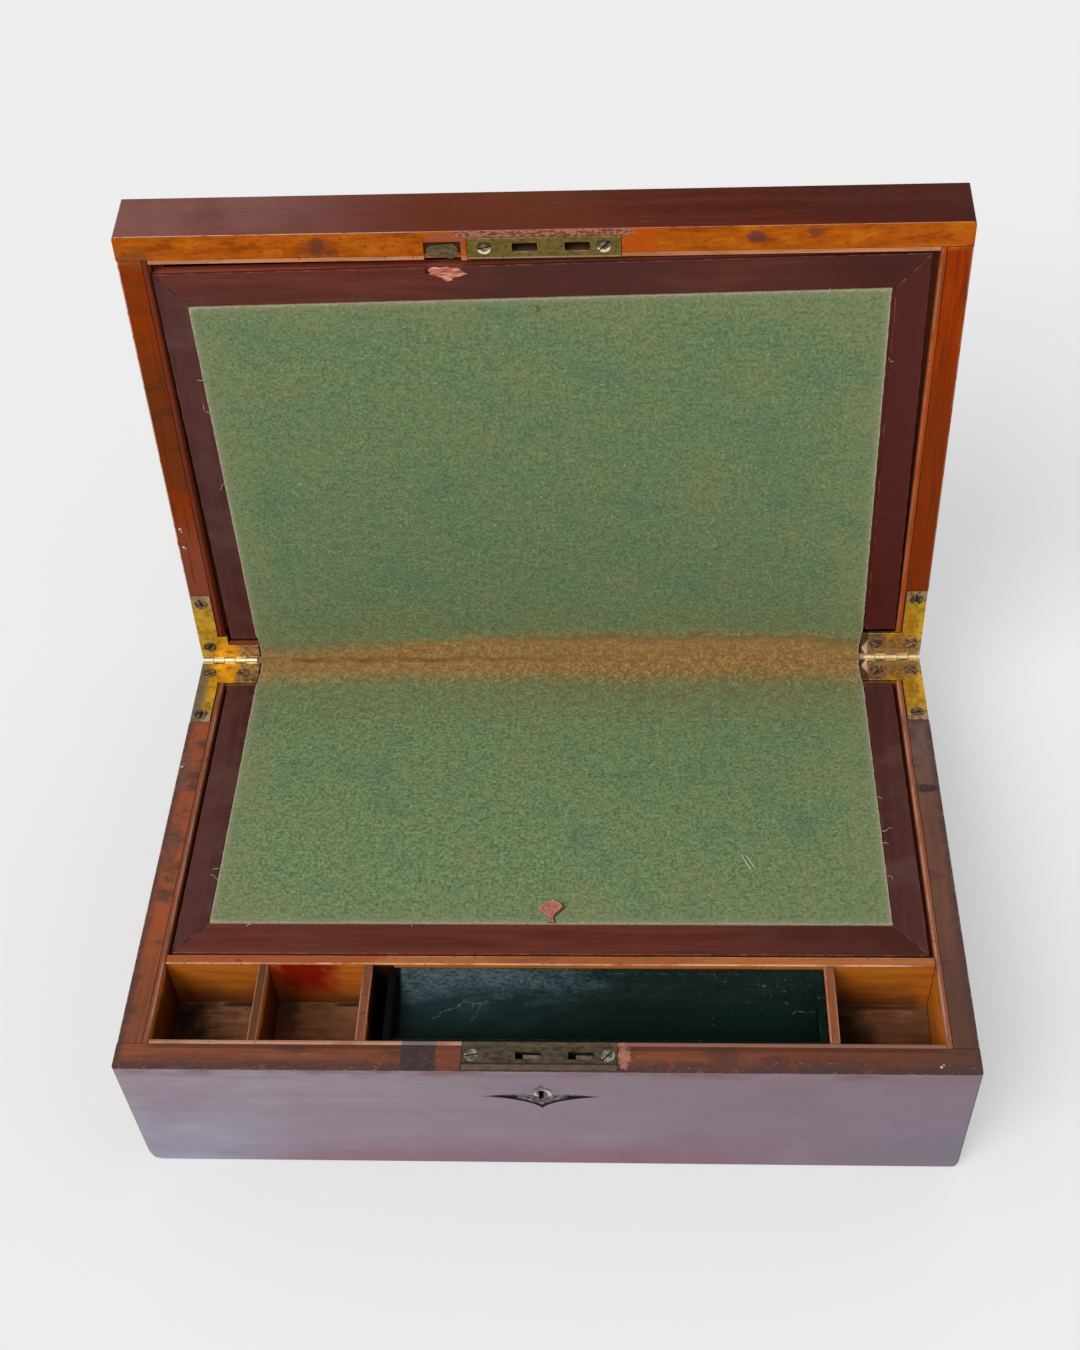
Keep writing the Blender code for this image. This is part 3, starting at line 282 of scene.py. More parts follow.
class Paint(Tree):
    """A piece's material, laid on colour by colour; its places and lengths are in millimetres."""

    # How far noise moves the edge of a spot, how many of its waves fit in, and its shortest wave
    SPOT_SHAKE, SPOT_WAVES, SHORTEST_WAVE = 2.6, 2.5, 1.2
    # Solid share of a line's width, the length of its bends and of its fading ends
    LINE_CORE, LINE_WAVE, LINE_FADE = 0.3, 4.0, 1.0

    def __init__(self, name):
        super().__init__(bpy.data.materials.new(name), "Principled BSDF")
        self.colour = None

    def attribute(self, name):
        return self.node("ShaderNodeAttribute", {"attribute_name": name}, output="Vector")

    def amount(self, name):
        return self.node("ShaderNodeAttribute", {"attribute_name": name}, output="Fac")

    @functools.cached_property
    def place(self):
        return self.attribute("place")

    @functools.cached_property
    def axes(self):
        """Distance across the piece, along its rim from the hinge, and into it."""
        split = self.node("ShaderNodeSeparateXYZ", None, {0: self.place}).socket.node
        return [Link(self, socket) for socket in split.outputs]

    def cloud(self, lengths, detail=3.0, roughness=0.55, distortion=0.0, vector=None):
        """Noise from 0 to 1 whose features have the given length, or a length along each axis."""
        lengths = lengths if isinstance(lengths, tuple) else (lengths,) * 3
        scale = tuple(1.0 / size for size in lengths)
        stretched = {0: vector or self.place, 1: scale}
        sockets = {
            "Vector": self.node("ShaderNodeVectorMath", {"operation": "MULTIPLY"}, stretched),
            "Scale": 1.0,
            "Detail": detail,
            "Roughness": roughness,
            "Distortion": distortion,
        }
        return self.node("ShaderNodeTexNoise", None, sockets)

    def step(self, value, start, end, low=0.0, high=1.0):
        """A smooth change from low to high as the value goes from start to end."""
        settings = {"interpolation_type": "SMOOTHSTEP"}
        return self.node("ShaderNodeMapRange", settings, {0: value, 1: start, 2: end, 3: low, 4: high})

    def patchy(self, size, low, high):
        """A value between low and high in patches of the given size."""
        return self.step(self.cloud(size), 0.3, 0.7, low, high)

    def mix(self, first, second, share):
        return self.node("ShaderNodeMix", {"data_type": "RGBA"}, {0: share, 6: first, 7: second}, output=2)

    def lay(self, colour, share):
        """Lays a colour over those before it by a share from 0 to 1."""
        self.colour = self.mix(self.colour, colour, share)

    def spot(self, x, d, width, length, soft=0.35, power=2.0):
        """1 inside a ragged oval on the surface, or a squarer shape at a higher power, 0 outside it."""
        across, along, _ = self.axes
        near = abs((across - x) / (width / 2)) ** power + abs((along - d) / (length / 2)) ** power
        wave = max(self.SHORTEST_WAVE, min(width, length) / self.SPOT_WAVES)
        ragged = near + (self.cloud(wave) - 0.5) * self.SPOT_SHAKE
        return self.step(ragged, 1.0 + soft, 1.0 - soft)

    def marked(self, colour, marks, soft=0.35, mask=1.0):
        """The colour under the spots of a table of marks."""
        for x, d, width, length, tint, share, power in marks:
            colour = self.mix(colour, tint, self.spot(x, d, width, length, soft, power) * (mask * share))
        return colour

    def line(self, start, end, width, shake):
        """1 on a thin mark between two places, 0 off it."""
        across, along, _ = self.axes
        run = Vector(end) - Vector(start)
        half, (right, down) = run.length / 2, run.normalized()
        forward = (across - start[0]) * right + (along - start[1]) * down
        aside = (across - start[0]) * down - (along - start[1]) * right
        aside = abs(aside + (self.cloud(self.LINE_WAVE) - 0.5) * shake)
        on_line = self.step(aside, width, width * self.LINE_CORE)
        return on_line * self.step(abs(forward - half), half, half - self.LINE_FADE)

    def finish(self, roughness, bump, depth, **constants):
        """The material, with its colours, its roughness and a bump of the given depth in metres."""
        sockets = {"Height": bump, "Strength": 1.0, "Distance": depth}
        normal = self.node("ShaderNodeBump", None, sockets)
        self.set_sockets(Base_Color=self.colour, Roughness=roughness, Normal=normal, **constants)
        return self.owner


def shade(colour, factor):
    return tuple(part * factor for part in colour)


def wood_figure(paint, streak, thread=(28.0, 0.9)):
    """Tone of the grain, its fine threads and its dark pores, each from 0 to 1."""
    grain = paint.attribute("grain")
    bands = paint.cloud((streak[0], streak[1], streak[1]), 4.0, 0.6, 0.5, grain)
    threads = paint.cloud((thread[0], thread[1], thread[1]), 3.0, 0.6, vector=grain)
    pores = paint.step(paint.cloud((5.0, 0.28, 0.28), 2.0, vector=grain), 0.60, 0.70)
    tone = paint.step(bands * 0.62 + threads * 0.38, 0.34, 0.66)
    return tone, threads, pores


# Marks in millimetres on the rims: x, distance from the hinge, width, length, colour, share and power
LID_RIM_MARKS = (
    (-92.0, 236.5, 15.0, 10.0, (0.230, 0.050, 0.014), 0.75, 2.0),
    (-92.5, 237.0, 6.5, 8.0, (0.130, 0.036, 0.022), 0.75, 2.0),
    (-86.0, 234.0, 6.0, 3.0, (0.120, 0.034, 0.016), 0.6, 2.0),
    (89.4, 238.0, 8.0, 5.5, (0.120, 0.040, 0.034), 0.85, 2.0),
    (113.0, 240.0, 6.0, 3.5, (0.150, 0.046, 0.034), 0.7, 2.0),
    (-39.0, 238.5, 16.0, 8.0, (0.330, 0.090, 0.038), 0.85, 4.0),
    (-170.0, 232.0, 14.0, 9.0, (0.200, 0.060, 0.018), 0.7, 2.0),
    (42.5, 237.0, 14.0, 13.0, (0.480, 0.075, 0.006), 0.7, 4.0),
    (2.0, 242.2, 72.0, 5.0, (0.150, 0.052, 0.036), 0.85, 6.0),
)
BASE_RIM_MARKS = (
    (-51.2, 236.0, 14.5, 17.0, (0.042, 0.030, 0.034), 0.92, 8.0),
    (-38.8, 236.0, 10.5, 15.0, (0.225, 0.058, 0.040), 0.60, 4.0),
    (33.6, 235.5, 5.0, 11.0, (0.500, 0.220, 0.140), 0.75, 2.0),
    (95.0, 237.0, 13.0, 6.0, (0.080, 0.030, 0.032), 0.7, 2.0),
    (172.0, 87.0, 10.0, 5.0, (0.030, 0.016, 0.014), 0.85, 2.0),
    (-174.5, 76.0, 5.0, 30.0, (0.105, 0.070, 0.058), 0.6, 2.0),
    (-173.0, 120.0, 8.0, 24.0, (0.080, 0.052, 0.044), 0.6, 2.0),
)
LINING_MARKS = (
    (-105.0, 186.0, 34.0, 60.0, (0.500, 0.064, 0.011), 0.80, 2.0),
    (-104.0, 186.0, 23.0, 60.0, (0.265, 0.009, 0.003), 0.95, 2.0),
)
BEAD_MARKS = (
    (-51.2, 231.0, 14.5, 9.0, (0.180, 0.140, 0.150), 0.9, 8.0),
    (-133.0, 186.5, 3.0, 1.6, (0.050, 0.020, 0.012), 0.9, 2.0),
    (20.0, 185.0, 90.0, 6.0, (0.270, 0.066, 0.019), 0.4, 4.0),
    (-130.0, 185.0, 120.0, 6.0, (0.300, 0.072, 0.022), 0.6, 4.0),
    (102.0, 231.0, 138.0, 9.0, (0.250, 0.112, 0.074), 0.9, 8.0),
    (8.0, 231.0, 50.0, 9.0, (0.300, 0.130, 0.084), 0.8, 8.0),
)
# On the bay floor, the near-black marks at the left of each bay and beside the tray, and the darker ones
# along the fronts of the first two bays, are painted shadows of the walls.
FLOOR_MARKS = (
    (-160.0, 212.0, 44.0, 60.0, (0.010, 0.004, 0.001), 0.97, 2.0),
    (-140.0, 226.0, 44.0, 16.0, (0.060, 0.026, 0.012), 0.7, 2.0),
    (-116.0, 208.0, 14.0, 60.0, (0.040, 0.016, 0.007), 0.85, 2.0),
    (-98.0, 206.0, 46.0, 50.0, (0.140, 0.050, 0.018), 0.55, 2.0),
    (-98.0, 222.0, 44.0, 22.0, (0.075, 0.028, 0.011), 0.75, 2.0),
    (145.0, 212.0, 60.0, 70.0, (0.100, 0.036, 0.013), 0.8, 2.0),
    (124.0, 212.0, 34.0, 60.0, (0.010, 0.004, 0.001), 0.98, 2.0),
    (-133.0, 185.6, 24.0, 2.0, (0.030, 0.012, 0.006), 0.85, 4.0),
    (-85.0, 185.6, 18.0, 2.0, (0.030, 0.012, 0.006), 0.85, 4.0),
    (146.0, 185.6, 30.0, 1.8, (0.050, 0.020, 0.009), 0.8, 4.0),
    (-70.0, 206.0, 10.0, 80.0, (0.005, 0.003, 0.002), 0.95, 8.0),
)
# Centre and radius of a ring of ink, then the ends of single scratches
INK_RING = (-108.0, 214.0, 7.0)
BAIZE_SCRATCHES = (
    ((85.6, -126.0), (89.6, -135.0), (0.440, 0.500, 0.330)),
    ((87.4, -126.5), (91.6, -134.5), (0.440, 0.500, 0.330)),
    ((86.6, -126.5), (90.8, -135.0), (0.040, 0.075, 0.034)),
)
TRAY_SCRATCHES = (
    ((-49.0, 208.0), (-34.0, 199.0)),
    ((-38.0, 200.5), (-24.0, 200.5)),
    ((-28.0, 200.0), (-32.0, 209.0)),
    ((104.0, 204.0), (116.0, 203.0)),
)
# Places on the rims, in millimetres: the lock plates with their lip and seam, and the lid plate's screws
LOCK_MIDDLE, PLATE_LIP, PLATE_SEAM = 2.0, 239.2, 230.8
SCREW_ASIDE, SCREW_ALONG = 24.8, 234.95
# The rail's rear face, the tray's left end, the right hinge's inner end, and the painted shade in the gap
# beside the tray
RAIL_REAR, TRAY_LEFT, HINGE_TIP = 184.6, -61.5, 151.6
GAP_SHADE_SPOT = (-70.5, 186.0, 10.0, 60.0)


# Materials: places and lengths are in millimetres, shares and colours go from 0 to 1
def paint_polish(wood):
    """Dark polished outside, hazy at the left and lighter where its edges are worn, with a painted highlight
    along them.
    """
    paint = Paint("dark_polish")
    tone, threads, pores = wood_figure(paint, (150.0, 11.0))
    across, along, _ = paint.axes
    paint.colour = paint.mix(wood.polish_dark, wood.polish_light, tone * 0.8 + 0.1)
    clouds = paint.cloud((60.0, 45.0, 45.0))
    middle = paint.step(abs(across + 25.0) + (clouds - 0.5) * 60.0, 95.0, 20.0)
    paint.lay((0.150, 0.036, 0.014), middle * 0.5)
    left = paint.step(across + (clouds - 0.5) * 40.0, -40.0, -130.0, 0.02, 0.85)
    haze = paint.step(clouds, 0.26, 0.58, 0.35, 1.0) * left
    front = paint.step(along + (clouds - 0.5) * 14.0, 222.0, 240.0)
    paint.lay((0.230, 0.096, 0.084), haze * front)
    right = paint.step(across + (clouds - 0.5) * 90.0, 110.0, 165.0)
    paint.lay((0.062, 0.013, 0.010), right * 0.7)
    paint.lay(shade(wood.polish_dark, 0.5), pores * 0.5)
    scratch = paint.step(paint.cloud((14.0, 0.5, 0.5), 2.0, 0.6, 0.4), 0.70, 0.76)
    paint.lay((0.330, 0.180, 0.150), scratch * 0.25)
    # Worn edges with a painted highlight along them.
    rubbed = paint.amount("arris") * paint.step(paint.cloud(9.0), 0.38, 0.62, 0.25, 0.9)
    paint.lay((0.330, 0.150, 0.105), rubbed * 0.7)
    rough = paint.patchy(14.0, 0.28, 0.42)
    gloss = (1.0 - front) * 0.12
    return paint.finish(
        rough, threads, 0.00006, Specular_IOR_Level=0.03, Coat_Weight=gloss, Coat_Roughness=0.3
    )


def paint_bloom_and_reflection(wood):
    """The front of the base, where the polish has gone hazy, painted together with a reflection of the pale
    floor.
    """
    paint = Paint("bloomed_polish")
    tone, threads, pores = wood_figure(paint, (140.0, 9.0))
    across, _, depth = paint.axes
    bloom_and_reflection = wood.bloom_and_reflection
    paint.colour = paint.mix(shade(bloom_and_reflection, 0.84), shade(bloom_and_reflection, 0.98), tone)
    wide = paint.cloud((110.0, 40.0, 40.0))
    left = paint.step(across + (wide - 0.5) * 160.0, 120.0, -160.0)
    paint.colour = paint.mix((0.200, 0.138, 0.172), paint.colour, left * 0.88 + 0.06)
    # Painted reflection with the haze: bluer at the lower left, cooler at the right, pinker at the bottom.
    blue = paint.step(across + (wide - 0.5) * 60.0, -95.0, -165.0) * paint.step(depth, 20.0, 75.0)
    paint.lay((0.305, 0.318, 0.410), blue * 0.85)
    cold = paint.step(across, 110.0, 170.0) * paint.step(depth, 15.0, 70.0)
    paint.lay((0.160, 0.145, 0.195), cold * 0.75)
    pink = paint.step(depth + (wide - 0.5) * 36.0, 50.0, 82.0) * paint.step(abs(across + 15.0), 150.0, 50.0)
    paint.lay((0.225, 0.098, 0.145), pink * 0.85)
    mauve = paint.step(paint.cloud((46.0, 22.0, 22.0)), 0.46, 0.64)
    paint.lay((0.225, 0.150, 0.205), mauve * 0.40)
    fine = paint.step(paint.cloud((26.0, 0.9, 0.7), 3.0, 0.6, 0.5), 0.52, 0.66)
    paint.lay((0.150, 0.098, 0.118), fine * 0.26)
    brown = paint.step(depth, 9.0, 1.0) * paint.step(paint.cloud((18.0, 8.0, 8.0)), 0.35, 0.65)
    paint.lay((0.150, 0.060, 0.050), brown * 0.75)
    paint.lay((0.130, 0.095, 0.115), pores * 0.22)
    # Worn edges with a painted highlight along them.
    rubbed = paint.amount("arris") * paint.step(paint.cloud(5.0), 0.42, 0.6)
    paint.lay((0.300, 0.160, 0.130), rubbed * 0.8)
    rough = paint.patchy(25.0, 0.36, 0.52)
    return paint.finish(
        rough, threads, 0.00005, Specular_IOR_Level=0.2, Coat_Weight=0.05, Coat_Roughness=0.35
    )


def paint_lid_rim(wood):
    """Honey front rim and red-brown side rims of the lid, worn pale along the outer edge under a painted
    highlight, with painted shade in its cuts.
    """
    paint = Paint("lid_rim_wood")
    tone, threads, pores = wood_figure(paint, (60.0, 4.0), (16.0, 0.8))
    across, along, depth = paint.axes
    patches = paint.cloud((15.0, 6.0, 6.0), 4.0, 0.6)
    curl = paint.cloud((2.6, 12.0, 12.0), 2.0)
    honey = paint.mix(shade(wood.honey, 0.66), shade(wood.honey, 1.10), tone * 0.6 + curl * 0.4)
    honey = paint.mix(honey, (0.560, 0.170, 0.008), paint.step(patches, 0.50, 0.66) * 0.55)
    honey = paint.mix(honey, (0.220, 0.040, 0.004), paint.step(patches, 0.47, 0.35) * 0.65)
    flake = paint.step(paint.cloud((3.2, 1.1, 1.1), 3.0, 0.6), 0.56, 0.66)
    honey = paint.mix(honey, (0.150, 0.030, 0.006), flake * 0.45)
    side = paint.mix(shade(wood.rim_red, 0.7), shade(wood.rim_red, 1.2), tone)
    right = paint.step(across, 100.0, 140.0)
    side = paint.mix(side, (0.190, 0.030, 0.005), right * paint.step(along, 205.0, 140.0) * 0.75)
    left = paint.step(across, -100.0, -140.0)
    side = paint.mix(side, (0.235, 0.036, 0.003), left * 0.75)
    middle = paint.step(along, 200.0, 165.0) * paint.step(along, 95.0, 120.0)
    shadows = middle * 0.55 + paint.step(patches, 0.46, 0.60) * 0.35
    side = paint.mix(side, (0.092, 0.030, 0.009), left * shadows)
    side = paint.mix(side, (0.240, 0.066, 0.036), left * paint.step(along, 100.0, 70.0) * 0.7)
    streak = paint.step(paint.cloud((2.0, 40.0, 3.0)), 0.54, 0.66)
    side = paint.mix(side, (0.110, 0.022, 0.006), streak * 0.55)
    paint.colour = paint.mix(side, honey, paint.step(along, 229.0, 231.5))
    paint.colour = paint.marked(paint.colour, LID_RIM_MARKS, 0.7)
    paint.lay(shade(wood.rim_red, 0.4), pores * 0.35)
    # Worn outer edges with a painted highlight along them, strongest at the left.
    pale = paint.step(across + (patches - 0.5) * 150.0, -20.0, -90.0, 0.35, 1.0)
    rubbed = paint.amount("arris") * paint.step(paint.cloud(5.0), 0.30, 0.50)
    paint.lay((0.620, 0.390, 0.330), rubbed * pale * 0.9)
    chipped = paint.step(abs(across - LOCK_MIDDLE), 40.0, 34.0) * paint.step(along, 239.8, 240.6)
    nubs = paint.step(paint.cloud((1.7, 1.0, 1.0)), 0.44, 0.56)
    paint.lay((0.460, 0.210, 0.150), chipped * nubs * 0.7)
    # Painted shade: near black on faces more than a millimetre or two below the rim, such as the walls of
    # its cuts.
    paint.lay((0.030, 0.010, 0.006), paint.step(depth, 1.2, 2.6))
    rough = paint.patchy(12.0, 0.34, 0.5)
    return paint.finish(rough, threads, 0.00006, Specular_IOR_Level=0.01)


def paint_base_rim(wood):
    """Weathered rims of the base, black with grime along the outside and nicked along the front."""
    paint = Paint("base_rim_wood")
    tone, threads, pores = wood_figure(paint, (50.0, 3.5), (14.0, 0.8))
    across, along, depth = paint.axes
    paint.colour = paint.mix(shade(wood.rim_brown, 0.62), shade(wood.rim_brown, 1.30), tone)
    patches = paint.cloud((22.0, 16.0, 16.0), 4.0, 0.6)
    left = paint.step(across, -150.0, -170.0)
    orange = left * paint.step(along, 215.0, 165.0, 0.2, 1.0) * paint.step(patches, 0.34, 0.54)
    paint.lay((0.330, 0.076, 0.023), orange * 0.95)
    right = paint.step(across, 150.0, 170.0)
    paint.lay((0.125, 0.062, 0.044), right * 0.65)
    paint.lay((0.080, 0.036, 0.023), right * paint.step(along, 150.0, 215.0) * 0.6)
    paint.lay((0.150, 0.092, 0.078), right * paint.step(along, 110.0, 60.0) * 0.7)
    front = paint.step(along, 229.0, 231.0) * paint.step(abs(across), 168.0, 160.0)
    paint.lay((0.225, 0.064, 0.027), front * paint.step(patches, 0.48, 0.60) * 0.6)
    paint.lay((0.110, 0.034, 0.017), front * paint.step(across, 70.0, 120.0) * 0.6)
    paint.lay((0.070, 0.030, 0.022), paint.step(patches, 0.47, 0.36) * 0.6)
    paint.lay((0.070, 0.018, 0.009), paint.step(along, 233.0, 232.3) * front * 0.6)
    outer = paint.step(abs(across) + (patches - 0.5) * 8.0, 173.5, 177.5)
    outer = outer.most(paint.step(along + (patches - 0.5) * 12.0, 235.5, 242.0))
    grime = paint.cloud((5.0, 5.0, 5.0), 4.0, 0.65)
    paint.lay((0.066, 0.036, 0.036), outer * paint.step(grime, 0.32, 0.50) * 0.85)
    scuffed = paint.step(paint.cloud(2.4, 3.0, 0.6), 0.36, 0.56, 0.62, 1.0)
    paint.colour = paint.marked(paint.colour, BASE_RIM_MARKS, 0.5, scuffed)
    paint.lay(shade(wood.rim_brown, 0.35), pores * 0.4)
    flecks = paint.step(paint.cloud((1.6, 0.9, 0.9), 2.0), 0.66, 0.72) * paint.step(along, 231.0, 240.0)
    paint.lay((0.360, 0.240, 0.185), flecks * 0.5)
    nicks = paint.amount("arris") * paint.step(paint.cloud(2.6), 0.53, 0.60)
    paint.lay((0.330, 0.205, 0.160), nicks * 0.6)
    # Painted shade: near black on faces more than a millimetre or two below the rim, such as the walls of
    # its cuts.
    paint.lay((0.028, 0.011, 0.007), paint.step(depth, 1.2, 2.6))
    rough = paint.patchy(10.0, 0.4, 0.58)
    return paint.finish(rough, threads, 0.00008, Specular_IOR_Level=0.15)


def paint_lining(wood):
    """Linings, rail and dividers: worn pale on top with a painted highlight along it; orange below with a
    red stain, darker towards the bottom; painted shade on walls that face right and behind the flaps.
    """
    paint = Paint("lining_wood")
    tone, threads, pores = wood_figure(paint, (45.0, 4.0), (14.0, 0.8))
    across, along, depth = paint.axes
    in_lid = paint.amount("in_lid")
    face = paint.mix(shade(wood.lining, 0.72), shade(wood.lining, 1.12), tone)
    clouds = paint.cloud(13.0, 4.0)
    # Darker towards the bottom of the walls, less so beside the right lining.
    low = paint.step(depth + (clouds - 0.5) * 26.0, 10.0, 36.0) * paint.step(across, 158.0, 163.0, 1.0, 0.35)
    face = paint.mix(face, (0.140, 0.046, 0.016), low * 0.8)
    high = paint.step(depth + (clouds - 0.5) * 22.0, 33.0, 16.0)
    face = paint.marked(face, LINING_MARKS, 0.7, high)
    # Painted shade: near black in the gap beside the tray.
    face = paint.mix(face, (0.006, 0.003, 0.002), paint.spot(*GAP_SHADE_SPOT, power=8.0) * 0.95)
    # Painted shade on the walls that face right, away from the lamp, deepening below the top.
    dark = paint.amount("right_facing_wall_shade") * paint.step(depth + (clouds - 0.5) * 10.0, 1.5, 9.0)
    face = paint.mix(face, (0.050, 0.010, 0.002), dark * 0.9)
    # Painted shade on faces behind the flaps and inside the lid, lighter near the top; through the lid
    # plate's slots it shows brown.
    level = along + depth * (RIM_RISE / BOX_DEPTH)
    behind = in_lid.most(paint.step(level, RAIL_REAR, RAIL_REAR - 0.7)) * paint.step(depth, 1.2, 2.8)
    shadowed = paint.mix((0.340, 0.090, 0.045), (0.150, 0.040, 0.020), paint.step(depth, 3.0, 9.0))
    face = paint.mix(face, shadowed, behind * 0.95)
    slots = paint.step(abs(across - LOCK_MIDDLE), 36.0, 33.0) * paint.step(along, 224.0, 228.0)
    face = paint.mix(face, (0.105, 0.062, 0.033), behind * in_lid * slots)
    bead = paint.attribute("tint")
    top = paint.mix(bead, shade(wood.bead, 0.2), paint.step(tone, 0.6, 0.0) * 0.4)
    # Painted highlight along the rounded top edge, in patches.
    worn = paint.step(paint.cloud((18.0, 18.0, 4.0)), 0.30, 0.55)
    crest = paint.amount("arris") * paint.amount("crest") * worn
    top = paint.mix(top, (0.800, 0.450, 0.310), crest)
    specks = paint.step(paint.cloud(1.8, 2.0), 0.64, 0.72)
    top = paint.mix(top, (0.090, 0.032, 0.020), specks * 0.7)
    top = paint.marked(top, BEAD_MARKS, mask=1.0 - in_lid)
    paint.colour = paint.mix(face, top, paint.step(depth, 2.4, 1.5))
    paint.lay((0.080, 0.026, 0.012), pores * 0.3)
    rough = paint.patchy(8.0, 0.42, 0.6)
    return paint.finish(rough, threads, 0.00006, Specular_IOR_Level=0.06)


def paint_bay_floor():
    """Bare floor of the pen section, with painted shadows of the walls, darker patches and a ring of ink."""
    paint = Paint("bay_floor_wood")
    tone, threads, pores = wood_figure(paint, (40.0, 3.5), (12.0, 0.7))
    across, along, _ = paint.axes
    paint.colour = paint.mix((0.215, 0.090, 0.040), (0.420, 0.215, 0.115), tone)
    clouds = paint.cloud((20.0, 16.0, 16.0), 4.0)
    paint.lay((0.120, 0.050, 0.024), paint.step(clouds, 0.46, 0.64) * 0.7)
    paint.colour = paint.marked(paint.colour, FLOOR_MARKS, 0.8)
    x, d, radius = INK_RING
    away = ((across - x) ** 2.0 + (along - d) ** 2.0) ** 0.5 + (clouds - 0.5) * 3.0
    ring = paint.step(abs(away - radius), 1.3, 0.4)
    paint.lay((0.020, 0.014, 0.012), ring * 0.8)
    paint.lay((0.060, 0.026, 0.014), pores * 0.4)
    return paint.finish(0.72, threads, 0.00008, Specular_IOR_Level=0.1)


def paint_tray(wood):
    """Near-black green paint, scuffed to blue-grey at the rear left under a painted sheen, with painted
    shade at its left end.
    """
    paint = Paint("tray_paint")
    across, along, _ = paint.axes
    base = wood.tray
    brushed = paint.cloud((40.0, 3.0, 3.0), 4.0)
    paint.colour = paint.mix(shade(base, 0.55), shade(base, 1.3), brushed)
    clouds = paint.cloud((20.0, 7.0, 7.0), 4.0, 0.6)
    # Rear left: blue-grey scuffs in a crackle, painted together with a sheen there.
    rear = paint.step(along + (clouds - 0.5) * 20.0, 203.0, 190.0)
    left = paint.step(across + (clouds - 0.5) * 70.0, 40.0, -45.0, 0.06, 1.0)
    left = left * paint.step(across, TRAY_LEFT - 3.1, TRAY_LEFT)
    crackle = paint.step(paint.cloud((2.0, 1.1, 1.1), 5.0, 0.75), 0.36, 0.66)
    paint.lay((0.185, 0.250, 0.290), rear * left * (crackle * 0.70 + 0.12))
    # Painted sheen: a soft glow over the rear left of the scoop.
    soft = paint.step(along + (clouds - 0.5) * 30.0, 224.0, 196.0, 0.3, 1.0) * left
    paint.lay((0.024, 0.042, 0.046), soft * 0.45)
    scratch = paint.step(paint.cloud((7.0, 0.8, 0.8), 3.0, 0.7, 1.6), 0.68, 0.73) * left
    paint.lay((0.170, 0.200, 0.210), scratch * 0.4)
    for start, end in TRAY_SCRATCHES:
        paint.lay((0.190, 0.225, 0.235), paint.line(start, end, 0.45, 6.4) * crackle * 0.5)
    ends = paint.step(across, 85.0, 118.0).most(paint.step(across, 40.0, 75.0) * 0.3)
    specks = paint.step(paint.cloud(1.4, 1.0), 0.725, 0.78) * (ends * 0.9 + 0.1)
    paint.lay((0.330, 0.380, 0.370), specks * 0.5)
    # Worn edges with a painted highlight along them, away from the left end.
    worn = paint.step(paint.cloud(4.0), 0.52, 0.62) * paint.step(across, -60.0, -50.0)
    rubbed = paint.amount("arris") * worn
    paint.lay((0.090, 0.085, 0.070), rubbed * 0.5)
    # Painted shade: near black at the tray's left end.
    paint.lay((0.003, 0.004, 0.003), paint.step(across, TRAY_LEFT, TRAY_LEFT - 1.5))
    rough = paint.patchy(7.0, 0.36, 0.56)
    return paint.finish(rough, brushed, 0.0001, Specular_IOR_Level=0.02)


def paint_border(wood):
    """Dark border strips of the flaps, redder along the front."""
    paint = Paint("flap_border_wood")
    tone, threads, pores = wood_figure(paint, (120.0, 7.0), (26.0, 0.8))
    across, _, _ = paint.axes
    side = paint.mix(shade(wood.border_side, 0.72), shade(wood.border_side, 1.15), tone)
    front = paint.mix(shade(wood.border_front, 0.7), shade(wood.border_front, 1.25), tone)
    front_strip, in_lid = paint.amount("front_strip"), paint.amount("in_lid")
    front = paint.mix(front, shade(wood.border_front, 0.42), paint.step(across, 50.0, 150.0) * 0.85)
    red = paint.step(across, 60.0, 140.0) * in_lid
    side = paint.mix(side, (0.082, 0.011, 0.007), red * 0.8)
    paint.colour = paint.mix(side, front, front_strip)
    patches = paint.cloud((34.0, 24.0, 24.0), 4.0)
    haze = paint.step(patches, 0.46, 0.66)
    paint.lay((0.120, 0.056, 0.044), haze * (0.45 - front_strip * 0.28) * (1.0 - red))
    dusk = paint.step(abs(across - 16.0) + (patches - 0.5) * 70.0, 75.0, 25.0) * front_strip * in_lid
    paint.lay((0.046, 0.017, 0.013), dusk * 0.65)
    bare = paint.mix((0.300, 0.065, 0.038), (0.520, 0.120, 0.070), tone)
    paint.lay(bare, paint.amount("bared"))
    paint.lay(shade(wood.border_side, 0.4), pores * 0.4)
    scratch = paint.step(paint.cloud((6.0, 0.6, 0.6), 2.0, 0.6, 0.8), 0.70, 0.76)
    paint.lay((0.260, 0.140, 0.110), scratch * 0.3)
    # Worn edges with a painted highlight along them.
    rubbed = paint.amount("arris") * paint.step(paint.cloud(5.0, 4.0, 0.7), 0.42, 0.66)
    paint.lay((0.250, 0.095, 0.060), rubbed * 0.65)
    rough = paint.patchy(16.0, 0.30, 0.46)
    return paint.finish(
        rough, threads, 0.00005, Specular_IOR_Level=0.12, Coat_Weight=0.02, Coat_Roughness=0.3
    )


